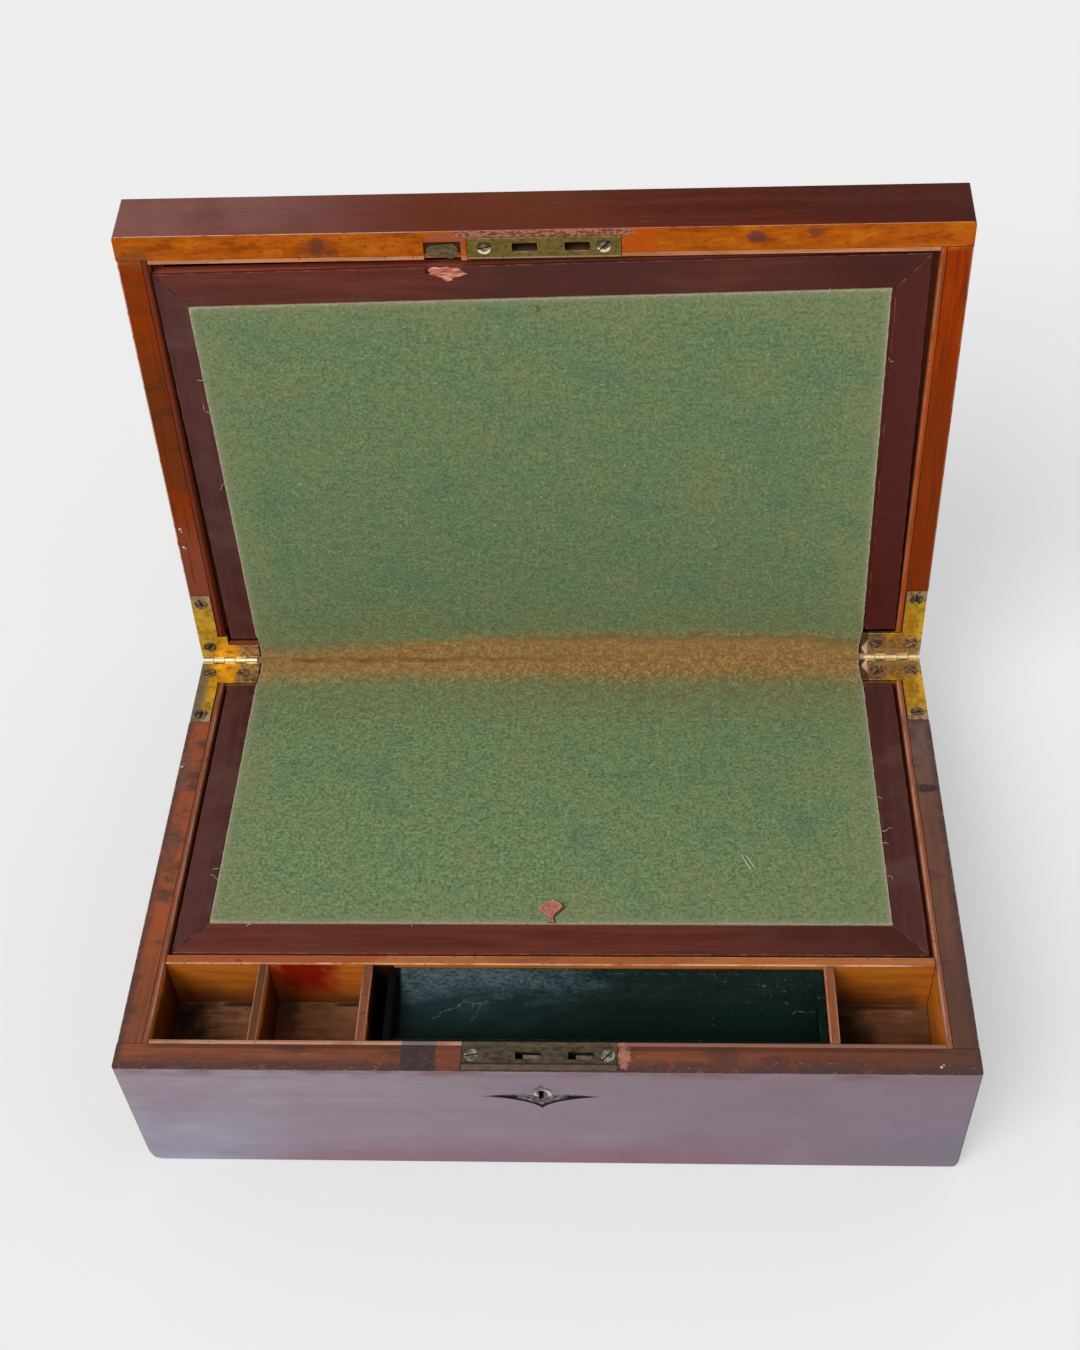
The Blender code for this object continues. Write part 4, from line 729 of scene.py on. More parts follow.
def paint_baize(trim):
    """Worn green wool: speckled, faded to olive at its edges, stained along the fold."""
    paint = Paint("green_baize")
    across, fold, _ = paint.axes
    hem = paint.amount("hem")
    base = trim.baize
    fibre = paint.cloud(1.5, 2.0, 0.6)
    tuft = paint.cloud(4.0, 4.0, 0.7)
    speck = paint.step(fibre * 0.62 + tuft * 0.38, 0.34, 0.66)
    paint.colour = paint.mix(shade(base, 0.70), shade(base, 1.31), speck)
    lower = paint.mix(shade(base, 0.66), shade(base, 1.64), speck)
    # Lighter on the lower sheet, most at its left.
    lighter_lower_left = paint.step(fold, 60.0, -60.0, 0.0, 0.80) * paint.step(across, 150.0, -60.0, 0.45, 1.0)
    paint.lay(lower, lighter_lower_left)
    broad = paint.cloud(30.0, 4.0, 0.6)
    green = paint.mix((0.064, 0.134, 0.072), (0.118, 0.212, 0.116), speck)
    paint.lay(green, paint.step(broad, 0.50, 0.70) * 0.50)
    faded = paint.mix((0.146, 0.160, 0.072), (0.255, 0.268, 0.130), speck)
    paint.lay(faded, paint.step(broad, 0.50, 0.30) * 0.40)
    dots = paint.cloud(1.3, 1.0, 0.5, 0.8)
    paint.lay((0.370, 0.410, 0.250), paint.step(dots, 0.66, 0.73) * 0.6)
    paint.lay((0.050, 0.085, 0.030), paint.step(dots, 0.31, 0.25) * 0.6)
    olive = paint.step(hem + (broad - 0.5) * 36.0, 24.0, 1.0)
    paint.lay((0.235, 0.245, 0.115), olive * (speck * 0.35 + 0.10))
    ragged = paint.cloud((26.0, 9.0, 9.0), 4.0, 0.6)
    shake = (ragged - 0.5) * 9.0 + (speck - 0.5) * 3.0
    reach = paint.step(abs(across - 30.0) + (ragged - 0.5) * 60.0, 175.0, 60.0, 5.0, 13.0)
    lid_side = paint.step(fold + shake - reach, 6.0, -4.5)
    base_side = paint.step(fold + shake * 1.5 + (tuft - 0.5) * 10.0, -19.0, -4.0)
    rust = paint.mix(shade(trim.stain, 0.52), shade(trim.stain, 1.46), speck * 0.75 + ragged * 0.25)
    paint.lay(rust, lid_side * base_side * 0.86)
    spread = paint.step(abs(fold + 4.0) + (ragged - 0.5) * 44.0, 46.0, 8.0)
    paint.lay(shade(trim.stain, 0.62), spread * paint.step(tuft, 0.62, 0.38) * 0.42)
    soiled = paint.step(across + (ragged - 0.5) * 140.0, -70.0, 40.0) * paint.step(fold, 4.0, -4.0)
    soiled = soiled * paint.step(fold + (ragged - 0.5) * 34.0, -46.0, -14.0)
    paint.lay(shade(trim.stain, 0.55), soiled * paint.step(speck, 0.75, 0.25) * 0.45)
    edge = paint.step(abs(fold - reach + shake), 2.6, 0.4) * paint.step(across, -60.0, 10.0)
    paint.lay(shade(trim.stain, 0.40), edge * 0.4)
    crease = paint.step(abs(fold + (ragged - 0.5) * 6.0), 2.2, 0.3)
    crease = crease * paint.step(ragged, 0.34, 0.58, 0.25, 1.0)
    strong = paint.step(across + (ragged - 0.5) * 120.0, 60.0, -50.0, 0.45, 1.0)
    paint.lay((0.140, 0.064, 0.010), crease * strong * 0.85)
    pale = paint.step(hem + (tuft - 0.5) * 7.0, 3.4, 0.6) * paint.step(abs(fold), 16.0, 30.0)
    paint.lay((0.300, 0.280, 0.180), pale * 0.42)
    cut = paint.step(hem + (paint.cloud(2.0) - 0.5) * 4.0, 1.0, 0.2)
    paint.lay((0.430, 0.350, 0.240), cut * 0.7)
    for start, end, tint in BAIZE_SCRATCHES:
        paint.lay(tint, paint.line(start, end, 0.55, 0.8) * 0.75)
    bump = fibre * 0.6 + tuft * 0.4
    return paint.finish(0.95, bump, 0.0004, Specular_IOR_Level=0.05, Sheen_Weight=0.05, Sheen_Roughness=0.6)


def paint_brass(trim):
    """Golden brass, tarnished brown towards the ends of the leaves, with a painted highlight along the
    knuckles.
    """
    paint = Paint("hinge_brass")
    across, along, _ = paint.axes
    base = trim.brass
    clouds = paint.cloud((5.0, 7.0, 5.0), 4.0)
    paint.colour = paint.mix(shade(base, 0.7), shade(base, 1.3), paint.step(clouds, 0.34, 0.66))
    lemon = paint.mix((0.500, 0.290, 0.014), (0.800, 0.520, 0.055), paint.step(clouds, 0.34, 0.66))
    paint.lay(lemon, paint.amount("in_lid") * 0.75)
    inner = paint.step(abs(across) + (clouds - 0.5) * 12.0, 163.0, 155.0)
    outer = paint.step(along + (clouds - 0.5) * 12.0, 33.0, 40.0)
    right = paint.step(across, 100.0, 140.0) * paint.step(along + (clouds - 0.5) * 10.0, 15.0, 11.0)
    tarnish = (inner + outer + right * 0.8).least(1.0) * paint.step(along, 1.7, 2.4)
    fine = paint.step(paint.cloud(1.8), 0.36, 0.62)
    worn = paint.mix((0.230, 0.150, 0.075), (0.500, 0.365, 0.215), fine)
    paint.lay(worn, tarnish * 0.85)
    smoke = paint.amount("smoked") * paint.step(abs(across) + (clouds - 0.5) * 8.0, 171.0, 175.0)
    paint.lay((0.150, 0.125, 0.095), smoke * 0.85)
    grime = paint.step(paint.cloud(2.2, 4.0), 0.55, 0.68)
    paint.lay((0.090, 0.055, 0.022), grime * 0.5)
    # Painted highlight: a cream line along the knuckles.
    barrel_highlight = paint.step(along, 2.3, 1.7)
    paint.lay((0.720, 0.590, 0.370), barrel_highlight * 0.8)
    tip = paint.step(across, HINGE_TIP + 0.6, HINGE_TIP) * paint.step(across, 100.0, 140.0)
    tip = tip * paint.step(along, 1.4, 1.8)
    paint.lay((0.150, 0.085, 0.058), tip * 0.85)
    wedge = paint.step(abs(along - 6.0) * 0.55 - (across - 149.0), 0.3, -0.1)
    paint.lay((0.880, 0.680, 0.570), wedge * tip * 0.95)
    rough = paint.patchy(3.5, 0.30, 0.55)
    return paint.finish(rough, grime, 0.00004, Metallic=0.93)


def paint_plate(trim):
    """Olive brass of the lock plates, duller and greyer on the base."""
    paint = Paint("plate_brass")
    _, along, _ = paint.axes
    base = trim.plate
    worn = paint.cloud((4.0, 2.0, 2.0), 5.0, 0.65)
    paint.colour = paint.mix(shade(base, 0.70), shade(base, 1.25), paint.step(worn, 0.3, 0.7))
    dull = paint.mix((0.026, 0.020, 0.013), (0.074, 0.059, 0.041), paint.step(worn, 0.36, 0.62))
    dulled = paint.amount("dulled")
    paint.lay(dull, dulled * 0.95)
    bare = paint.mix((0.100, 0.080, 0.060), (0.260, 0.205, 0.165), paint.step(worn, 0.36, 0.62))
    paint.lay(bare, paint.amount("bared"))
    lip = paint.step(along, PLATE_LIP + 0.2, PLATE_LIP + 0.6) * dulled
    paint.lay((0.170, 0.135, 0.095), lip * 0.6)
    seam = paint.step(along, PLATE_SEAM, PLATE_SEAM - 0.4) * (1.0 - dulled)
    paint.lay((0.460, 0.290, 0.170), seam * 0.75)
    line = paint.step(abs(along - PLATE_LIP), 0.6, 0.3) * dulled
    paint.lay((0.022, 0.016, 0.012), line * 0.8)
    grime = paint.step(paint.cloud(1.6, 4.0), 0.55, 0.66)
    paint.lay((0.040, 0.032, 0.020), grime * 0.55)
    # Worn edges with a painted highlight along them, fainter where dull.
    bright = paint.amount("arris") * paint.step(paint.cloud(3.0), 0.4, 0.6)
    paint.lay((0.460, 0.370, 0.190), bright * (0.8 - dulled * 0.5))
    rough = paint.step(worn, 0.3, 0.7, 0.42, 0.62)
    return paint.finish(rough, grime, 0.00005, Metallic=0.5, Specular_IOR_Level=0.2)


def paint_screw():
    """Old brass screws, or steel ones where marked, with worn rims under a painted highlight; the lid
    plate's screws have a painted highlight towards the hinge and painted shade towards the front.
    """
    paint = Paint("screw_metal")
    across, along, depth = paint.axes
    worn = paint.cloud(2.4, 4.0)
    brass = paint.mix((0.110, 0.056, 0.024), (0.270, 0.160, 0.075), paint.step(worn, 0.36, 0.62))
    steel = paint.mix((0.130, 0.112, 0.084), (0.340, 0.310, 0.245), paint.step(worn, 0.36, 0.62))
    paint.colour = paint.mix(brass, steel, paint.amount("steel"))
    # Worn rims of the heads with a painted highlight along them.
    paint.lay((0.560, 0.470, 0.320), paint.amount("arris") * paint.step(worn, 0.42, 0.54) * 0.85)
    paint.lay((0.020, 0.015, 0.011), paint.amount("grimy") * paint.step(worn, 0.60, 0.46))
    # Lid plate's screws: a painted highlight on the side towards the hinge, painted shade on the side
    # towards the front.
    away = ((abs(across - LOCK_MIDDLE) - SCREW_ASIDE) ** 2.0 + (along - SCREW_ALONG) ** 2.0) ** 0.5
    ring = paint.amount("rubbed") * paint.step(away, 1.5, 2.0)
    paint.lay((0.900, 0.760, 0.520), ring * paint.step(along, SCREW_ALONG - 0.15, SCREW_ALONG - 1.35))
    paint.lay((0.030, 0.024, 0.012), ring * paint.step(along, SCREW_ALONG - 0.05, SCREW_ALONG + 1.25) * 0.8)
    # Painted shade: near black in the slots.
    paint.lay((0.016, 0.011, 0.007), paint.step(depth, 0.50, 0.75))
    return paint.finish(paint.step(worn, 0.3, 0.7, 0.36, 0.55), worn, 0.00004, Metallic=0.6)


def paint_horn(wood):
    """Black inlay round the keyhole, scratched grey, its upper edges lost in the haze and painted reflection
    of the polish.
    """
    paint = Paint("horn_inlay")
    across, rise, _ = paint.axes
    scratch = paint.cloud((2.2, 1.0, 1.0), 4.0, 0.7)
    black = (0.007, 0.005, 0.007)
    paint.colour = paint.mix((0.016, 0.012, 0.015), (0.270, 0.225, 0.235), paint.step(scratch, 0.42, 0.62))
    run = abs(across + 1.0) / 26.0
    curve = (1.0 - run).most(0.0) ** 1.9 * 9.6 + 0.35
    inside = curve - abs(rise) + (scratch - 0.5) * 2.4
    edge = paint.step(inside, 3.6, 2.2) * paint.step(rise, 1.0, -1.0)
    paint.lay(black, edge * 0.95)
    # Upper part fades into the front's hazy colour with its painted reflection.
    faded = paint.step(rise + (scratch - 0.5) * 3.0, 0.2, 2.6) * paint.step(abs(across), 2.5, 5.0, 0.35, 0.9)
    paint.lay(shade(wood.bloom_and_reflection, 0.80), faded)
    paint.lay(black, paint.step(run, 0.30, 0.46) * paint.step(rise, 1.4, 0.6) * 0.95)
    away = ((across + 0.3) ** 2.0 + (rise - 2.0) ** 2.0) ** 0.5 + (scratch - 0.5) * 1.5
    worn = paint.step(abs(away - 2.9), 1.1, 0.4) * paint.step(rise, -0.5, 1.5)
    paint.lay((0.620, 0.540, 0.540), worn * 0.85)
    return paint.finish(0.6, scratch, 0.00004, Specular_IOR_Level=0.02)


def paint_leather(trim):
    """Faded red leather, pale along its cut edges."""
    paint = Paint("tab_leather")
    base = trim.leather
    creased = paint.cloud(1.3, 4.0)
    paint.colour = paint.mix(shade(base, 0.6), shade(base, 1.2), paint.step(creased, 0.3, 0.7))
    paint.lay((0.600, 0.360, 0.250), paint.amount("arris") * 0.4)
    return paint.finish(0.7, creased, 0.0001)


def paint_splinter():
    """Torn bare wood, salmon-pink with darker splits along its grain."""
    paint = Paint("torn_wood")
    fibres = paint.cloud((7.0, 0.9, 0.9), 4.0, 0.65, 0.4)
    paint.colour = paint.mix((0.330, 0.080, 0.046), (0.900, 0.470, 0.330), paint.step(fibres, 0.40, 0.60))
    raw = paint.step(paint.cloud((4.0, 1.6, 1.6)), 0.48, 0.60)
    paint.lay((0.680, 0.180, 0.090), raw * 0.50)
    splits = paint.step(paint.cloud((9.0, 0.6, 0.6), 2.0), 0.60, 0.68)
    paint.lay((0.160, 0.050, 0.034), splits * 0.7)
    return paint.finish(0.7, fibres, 0.0003, Specular_IOR_Level=0.1)


def paint_plain(name, first, second, size, roughness):
    """Small pieces of one finish with a fine mottle."""
    paint = Paint(name)
    mottle = paint.cloud(size)
    paint.colour = paint.mix(first, second, paint.step(mottle, 0.35, 0.65))
    return paint.finish(roughness, mottle, 0.0001)


# Tolerances of the meshes: lengths in metres, angles in radians
WELD = 0.000002
FLAT_ANGLE, SMOOTH_ANGLE, SHARP_ANGLE, HEM_ANGLE = 0.008, 0.5, 0.6, 0.8
ON_FACE, ON_RIM, ON_HINGE_LINE = 0.0003, 0.0006, 0.0012
# Cosines above which a face counts as square to an axis, as looking along it, and as sloping towards it
SQUARE, LOOKING, SLOPING = 0.8, 0.7, 0.25

# Bottom front corners of the box: side and radius of the knock, and the slopes of its flat cuts
KNOCKS = ((-1.0, 0.0052), (1.0, 0.0036))
KNOCK_CUTS = ((1.0, 0.3), (1.0, 0.6), (1.0, 1.0), (0.6, 1.0), (0.3, 1.0))
KNOCK_FORWARD = 0.35
KNOCKED_BOARDS = ("base_front_board", "base_left_side", "base_right_side", "base_bottom_panel")


# Meshes
def plain_mesh(shape, name):
    """The mesh of a shape, which is freed."""
    mesh = bpy.data.meshes.new(name)
    shape.to_mesh(mesh)
    shape.free()
    return mesh


def finished_mesh(shape, name):
    """The mesh with soft shading on its curved faces and sharp edges elsewhere."""
    shape.normal_update()
    layer = shape.faces.layers.float.get("arris") or shape.faces.layers.float.new("arris")
    for face in shape.faces:
        face.smooth = True
    for edge in shape.edges:
        if edge.is_manifold:
            first, second = edge.link_faces
            edge.smooth = first[layer] == second[layer] and edge.calc_face_angle() < SMOOTH_ANGLE
    return plain_mesh(shape, name)


def join_rows(shape, rows, closed=False):
    """Adds faces between rows of vertices; closed rows are rings, and the two end rings are filled."""
    for row, following in zip(rows, rows[1:]):
        count = len(row)
        for index in range(count if closed else count - 1):
            after = (index + 1) % count
            shape.faces.new((row[index], row[after], following[after], following[index]))
    if closed:
        shape.faces.new(rows[0])
        shape.faces.new(rows[-1])


def sheet_mesh(shape, rows, name):
    """The mesh of a smooth sheet through rows of vertices."""
    join_rows(shape, rows)
    for face in shape.faces:
        face.smooth = True
    return plain_mesh(shape, name)


def round_edges(shape, edges, radius, segments):
    """Rounds edges, and marks the rounded faces as arris."""
    layer = shape.faces.layers.float["arris"]
    made = bmesh.ops.bevel(
        shape, geom=edges, offset=radius, segments=segments, profile=0.5, affect="EDGES", clamp_overlap=True
    )
    for face in made["faces"]:
        face[layer] = 1.0


def knock_corners(shape):
    """Rounds the two bottom front corners with flat cuts, each closed again."""
    for side, radius in KNOCKS:
        middle = Vector((side * (HALF_WIDTH - radius), BOX_FRONT + radius, radius))
        for across, down in KNOCK_CUTS:
            facing = Vector((side * across, -KNOCK_FORWARD, -down)).normalized()
            geometry = shape.verts[:] + shape.edges[:] + shape.faces[:]
            made = bmesh.ops.bisect_plane(
                shape, geom=geometry, plane_co=middle + facing * radius, plane_no=facing, clear_outer=True
            )
            cut = [part for part in made["geom_cut"] if isinstance(part, bmesh.types.BMEdge)]
            if cut:
                bmesh.ops.holes_fill(shape, edges=cut)


def softened(node, radius, chosen, least, segments):
    """A copy of a CAD node's mesh with its chosen long edges rounded."""
    rim = RIMS[BODY_OF[node]]
    shape = bmesh.new()
    shape.from_mesh(frame["nodes"][node].data)
    shape.faces.layers.float.new("arris")
    bmesh.ops.remove_doubles(shape, verts=shape.verts, dist=WELD)
    bmesh.ops.dissolve_limit(shape, angle_limit=FLAT_ANGLE, verts=shape.verts, edges=shape.edges)
    if node in KNOCKED_BOARDS:
        knock_corners(shape)
    sharp = []
    for edge in shape.edges:
        if edge.is_manifold and edge.calc_face_angle() > SHARP_ANGLE and edge.calc_length() > least:
            ends = np.array([vertex.co for vertex in edge.verts])
            if chosen is None or chosen(ends, local(ends, rim)):
                sharp.append(edge)
    if sharp and radius > 0.0:
        round_edges(shape, sharp, radius, segments)
    return finished_mesh(shape, f"{node}_mesh")


def on_outside(ends, places):
    """Whether an edge is an outer corner of the box: it lies on two of its outer faces."""
    tests = (
        np.abs(ends[:, 0]) > HALF_WIDTH - ON_FACE,
        places[:, 2] < ON_RIM,
        (ends[:, 1] < BOX_FRONT + ON_FACE) | (ends[:, 2] > LID_TOP - ON_FACE),
        (ends[:, 2] < ON_FACE) | (ends[:, 1] > LID_BACK - ON_FACE),
        places[:, 1] < ON_HINGE_LINE,
    )
    return sum(bool(test.all()) for test in tests) >= 2


# Where the linings meet the side and front boards, and the depth of their top edges
GLUED_SIDE, GLUED_FRONT, BEAD_DEPTH = 0.1670, 0.2315, 0.0015


def on_bead(_, places):
    """Whether an edge lies on top of a lining and away from the boards that it is glued to."""
    glued = np.abs(places[:, 0]).min() > GLUED_SIDE or places[:, 1].min() > GLUED_FRONT
    return places[:, 2].max() < BEAD_DEPTH and not glued


# Order of (x, distance, depth) for a grain along x or along the distance, and the shift for each seed
GRAIN_ORDERS = {"x": [0, 1, 2], "d": [1, 0, 2]}
GRAIN_SHIFT = np.array([411.0, 173.0, 97.0])


def mark(mesh, name, values, domain="POINT"):
    """Stores a number or a vector for each point or face, for the materials to read."""
    values = np.asarray(values, np.float32)
    kind, field = ("FLOAT_VECTOR", "vector") if values.ndim == 2 else ("FLOAT", "value")
    mesh.attributes.new(name, kind, domain).data.foreach_set(field, values.ravel())


def mark_all(mesh, **values):
    """Stores numbers or colours that are the same over the whole mesh."""
    for name, value in values.items():
        mark(mesh, name, np.full((len(mesh.vertices), *np.shape(value)), value))


def mark_faces(mesh, name, towards, found, other):
    """Stores one number on the faces that look in a direction and another on the rest."""
    looks = [found if face.normal.dot(towards) > SQUARE else other for face in mesh.polygons]
    mark(mesh, name, looks, "FACE")


def mark_place(mesh, rim, grain="x", seed=0):
    """Stores each point's place on its rim, and its place along the grain, in millimetres."""
    points = np.zeros(len(mesh.vertices) * 3, np.float32)
    mesh.vertices.foreach_get("co", points)
    place = local(points.reshape(-1, 3), rim) / MM
    mark(mesh, "place", place)
    mark(mesh, "grain", place[:, GRAIN_ORDERS[grain]] + GRAIN_SHIFT * seed)
    return mesh


def add_piece(name, mesh, body, paints, stands_for=()):
    """A named piece that rides on a body, in the row frame."""
    piece = bpy.data.objects.new(name, mesh)
    bpy.context.scene.collection.objects.link(piece)
    for paint in paints:
        mesh.materials.append(paint)
    if body:
        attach(piece, body)
    if stands_for:
        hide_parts(*stands_for)
    return piece


def dress(node, radius, paints, grain="x", seed=0, chosen=None, least=0.005, segments=3, rim=None):
    """Replaces a CAD node by its softened copy, whose places are on its body's rim or the given one."""
    body = BODY_OF[node]
    mesh = softened(node, radius, chosen, least, segments)
    mark_place(mesh, RIMS[body] if rim is None else rim, grain, seed)
    return add_piece(f"worn_{node}", mesh, body, paints, [node])


# Limits of a board's outer faces: in from its side, from the hinge at the rear and front, and below the rim
OUTER_SIDE, OUTER_REAR, OUTER_FRONT, OUTER_BELOW = 0.001, 0.002, 0.231, 0.02
LOOKING_DOWN = 0.3


def bare_inside(piece, rim):
    """Gives the second material to the rim, its edges and the cuts in it, and the third to the sides."""
    turn = np.array(rim.to_3x3())
    for face in piece.data.polygons:
        centre, facing = local([face.center], rim)[0], np.array(face.normal) @ turn
        side = abs(facing[0]) > LOOKING and abs(centre[0]) > HALF_WIDTH - OUTER_SIDE
        front = facing[1] > LOOKING and centre[1] > OUTER_FRONT
        rear = facing[1] < -LOOKING and centre[1] < OUTER_REAR
        below = facing[2] > LOOKING_DOWN and centre[2] > OUTER_BELOW
        if facing[2] < -SLOPING or not (side or front or rear or below):
            face.material_index = 1
        elif side:
            face.material_index = 2


def prism(outline, depths, rim, radius, name):
    """An outline of (x, distance) in metres, extruded between two depths, its top edges rounded."""
    shape = bmesh.new()
    shape.faces.layers.float.new("arris")
    rings = []
    for depth in reversed(depths):
        points = world([(x, d, depth) for x, d in outline], rim)
        rings.append([shape.verts.new(point) for point in points])
    join_rows(shape, rings, closed=True)
    bmesh.ops.recalc_face_normals(shape, faces=shape.faces)
    if radius > 0.0:
        top = set(rings[-1])
        round_edges(shape, [edge for edge in shape.edges if set(edge.verts) <= top], radius, segments=2)
    return finished_mesh(shape, name)


def tube(points, radius, shape, sides=6):
    """Adds a thin round thread along row-frame points, closed and narrower at both ends."""
    rings = []
    for index, point in enumerate(points):
        before, after = points[max(0, index - 1)], points[min(len(points) - 1, index + 1)]
        run = (Vector(after) - Vector(before)).normalized()
        first = run.orthogonal().normalized()
        second = run.cross(first)
        size = radius * (0.5 if index in (0, len(points) - 1) else 1.0)
        ring = []
        for side in range(sides):
            angle = math.tau * side / sides
            out = first * math.cos(angle) + second * math.sin(angle)
            ring.append(shape.verts.new(Vector(point) + out * size))
        rings.append(ring)
    join_rows(shape, rings, closed=True)


def ripple(x, y, size, seed=0.0):
    """Smooth noise from -1 to 1 at a place, with features of the given size."""
    return noise.noise(Vector((x / size, y / size, seed)))


# Boards, each with the direction of its grain
BOARDS = {
    "base_front_board": "x",
    "base_back_board": "x",
    "base_left_side": "d",
    "base_right_side": "d",
    "base_bottom_panel": "x",
    "lid_front_board": "x",
    "lid_back_board": "x",
    "lid_left_side": "d",
    "lid_right_side": "d",
    "lid_top_panel": "x",
}


class SLOPE_OT_boards(bpy.types.Operator):
    """Outer boards and panels with rounded, worn edges that carry a painted highlight"""

    bl_idname = "slope.boards"
    bl_label = "Boards"

    def execute(self, context):
        wood = context.scene.slope_wood
        polish, front_bloom_and_reflection = paint_polish(wood), paint_bloom_and_reflection(wood)
        rims = {"base": paint_base_rim(wood), "lid": paint_lid_rim(wood)}
        for seed, (node, grain) in enumerate(BOARDS.items()):
            body = BODY_OF[node]
            outside = front_bloom_and_reflection if node == "base_front_board" else polish
            paints = [outside, rims[body], polish]
            piece = dress(node, wood.edge_round, paints, grain, seed, on_outside, least=0.02)
            if "panel" not in node:
                bare_inside(piece, RIMS[body])
        return {"FINISHED"}


# Linings: grain, share of the bead's rounding, colour of the top edge and strength of the painted highlight
# along its rounded top
LININGS = {
    "base_left_lining": ("d", 1.0, (0.260, 0.078, 0.042), 0.35),
    "base_right_lining": ("d", 1.0, (0.300, 0.098, 0.052), 0.35),
    "base_front_lining": ("x", 1.0, (0.430, 0.195, 0.130), 0.35),
    "base_back_lining": ("x", 0.5, (0.150, 0.045, 0.018), 0.0),
    "lid_left_lining": ("d", 1.0, (0.175, 0.028, 0.011), 0.0),
    "lid_right_lining": ("d", 1.0, (0.360, 0.064, 0.008), 0.15),
    "lid_front_lining": ("x", 1.0, (0.600, 0.220, 0.090), 0.45),
    "pen_section_rail": ("x", 0.9, (0.440, 0.140, 0.041), 0.75),
    "first_bay_divider": ("d", 1.0, (0.130, 0.044, 0.020), 0.25),
    "second_bay_divider": ("d", 1.0, (0.240, 0.078, 0.034), 0.30),
    "third_bay_divider": ("d", 1.0, (0.270, 0.084, 0.038), 0.35),
}
# Rounding of the rail and dividers, in fine roundings
DIVIDER_ROUND = 1.6


class SLOPE_OT_linings(bpy.types.Operator):
    """Linings with a rounded bead on top, the rail, the dividers and the bay floor"""

    bl_idname = "slope.linings"
    bl_label = "Linings"

    def execute(self, context):
        wood = context.scene.slope_wood
        lining = paint_lining(wood)
        for seed, (node, (grain, rounding, tint, crest)) in enumerate(LININGS.items(), 20):
            radius = wood.bead_round if "lining" in node else wood.fine_round * DIVIDER_ROUND
            piece = dress(node, radius * rounding, [lining], grain, seed, on_bead, segments=4)
            in_lid = float(BODY_OF[node] == "lid" or node == "base_back_lining")
            mark_all(piece.data, tint=tint, crest=crest, in_lid=in_lid)
            # Walls that face right get painted shade.
            mark_faces(piece.data, "right_facing_wall_shade", Vector((1, 0, 0)), 1.0, 0.0)
        dress("bay_floor", 0.0, [paint_bay_floor()], seed=31)
        return {"FINISHED"}


class SLOPE_OT_tray(bpy.types.Operator):
    """The loose pen tray with its scooped top"""

    bl_idname = "slope.tray"
    bl_label = "Pen tray"

    def execute(self, context):
        wood = context.scene.slope_wood
        dress("pen_tray", wood.fine_round, [paint_tray(wood)], seed=33, least=0.02)
        return {"FINISHED"}


# Flaps: a core, mitred border strips and baize
STRIP_THICKNESS = 0.0013
STRIP_TOP = 0.0002
STRIP_BOTTOM = STRIP_TOP + STRIP_THICKNESS
MITRE_GAP = 0.00006
CLOTH_GAP = 0.0003
# Room that the turned catch needs in the upper flap's front strip: left, right and rear
CATCH_NOTCH = (-0.0468, -0.0310, 0.2083)
BORDERS = {"lower": (LOWER_FLAP, "lower_flap"), "upper": (UPPER_FLAP, "upper_flap")}
# How bare each flap's front edge is, and its other faces
BARE_FRONT = {"lower": 0.4, "upper": 1.0}
BARE_ELSEWHERE = 0.2


def flap_sizes(word):
    """Half width, rear, front and depth of a flap board, and the half width and front of its baize."""
    rim = BORDERS[word][0]
    low, high = node_span(f"{word}_flap_board", rim)
    cloth = node_span(f"{word}_flap_baize", rim)[1]
    return high[0], low[1], high[1], high[2], cloth[0], cloth[1]


def border_outlines(word):
    """Outlines of a flap's left, right and front border strips."""
    half, rear, front, _, cloth_half, cloth_front = flap_sizes(word)
    inner, inner_front = cloth_half + CLOTH_GAP, cloth_front + CLOTH_GAP
    left = [(-half, rear), (-inner, rear), (-inner, inner_front - MITRE_GAP), (-half, front - MITRE_GAP)]
    mitre = [(-half + MITRE_GAP, front), (-inner + MITRE_GAP, inner_front)]
    strip = mitre + [(-x, d) for x, d in reversed(mitre)]
    if word == "upper":
        notch_left, notch_right, notch_rear = CATCH_NOTCH
        strip += [(notch_right, front), (notch_right, notch_rear)]
        strip += [(notch_left, notch_rear), (notch_left, front)]
    return {"left": left, "right": [(-x, d) for x, d in left], "front": strip}


class SLOPE_OT_flaps(bpy.types.Operator):
    """Flap boards with mitred border strips"""

    bl_idname = "slope.flaps"
    bl_label = "Flaps"

    def execute(self, context):
        wood = context.scene.slope_wood
        border = paint_border(wood)
        for seed, (word, (rim, body)) in enumerate(BORDERS.items()):
            half, rear, front, bottom, _, _ = flap_sizes(word)
            outline = [(-half, rear), (half, rear), (half, front), (-half, front)]
            core = prism(outline, (STRIP_BOTTOM, bottom), rim, 0.0, f"{word}_flap_core_mesh")
            mark_place(core, RIMS[body], seed=40 + seed)
            mark_all(core, front_strip=1.0)
            mark_faces(core, "bared", rim.col[1].to_3d(), BARE_FRONT[word], BARE_ELSEWHERE)
            add_piece(f"{word}_flap_core", core, body, [border], [f"{word}_flap_board"])
            for side, outline in border_outlines(word).items():
                name = f"{word}_flap_{side}_border"
                mesh = prism(outline, (STRIP_TOP, STRIP_BOTTOM), rim, wood.fine_round, f"{name}_mesh")
                grain = "x" if side == "front" else "d"
                mark_place(mesh, RIMS[body], grain, 42 + 3 * seed + len(side))
                mark_all(mesh, front_strip=float(side == "front"), in_lid=float(word == "upper"))
                add_piece(name, mesh, body, [border])
        return {"FINISHED"}


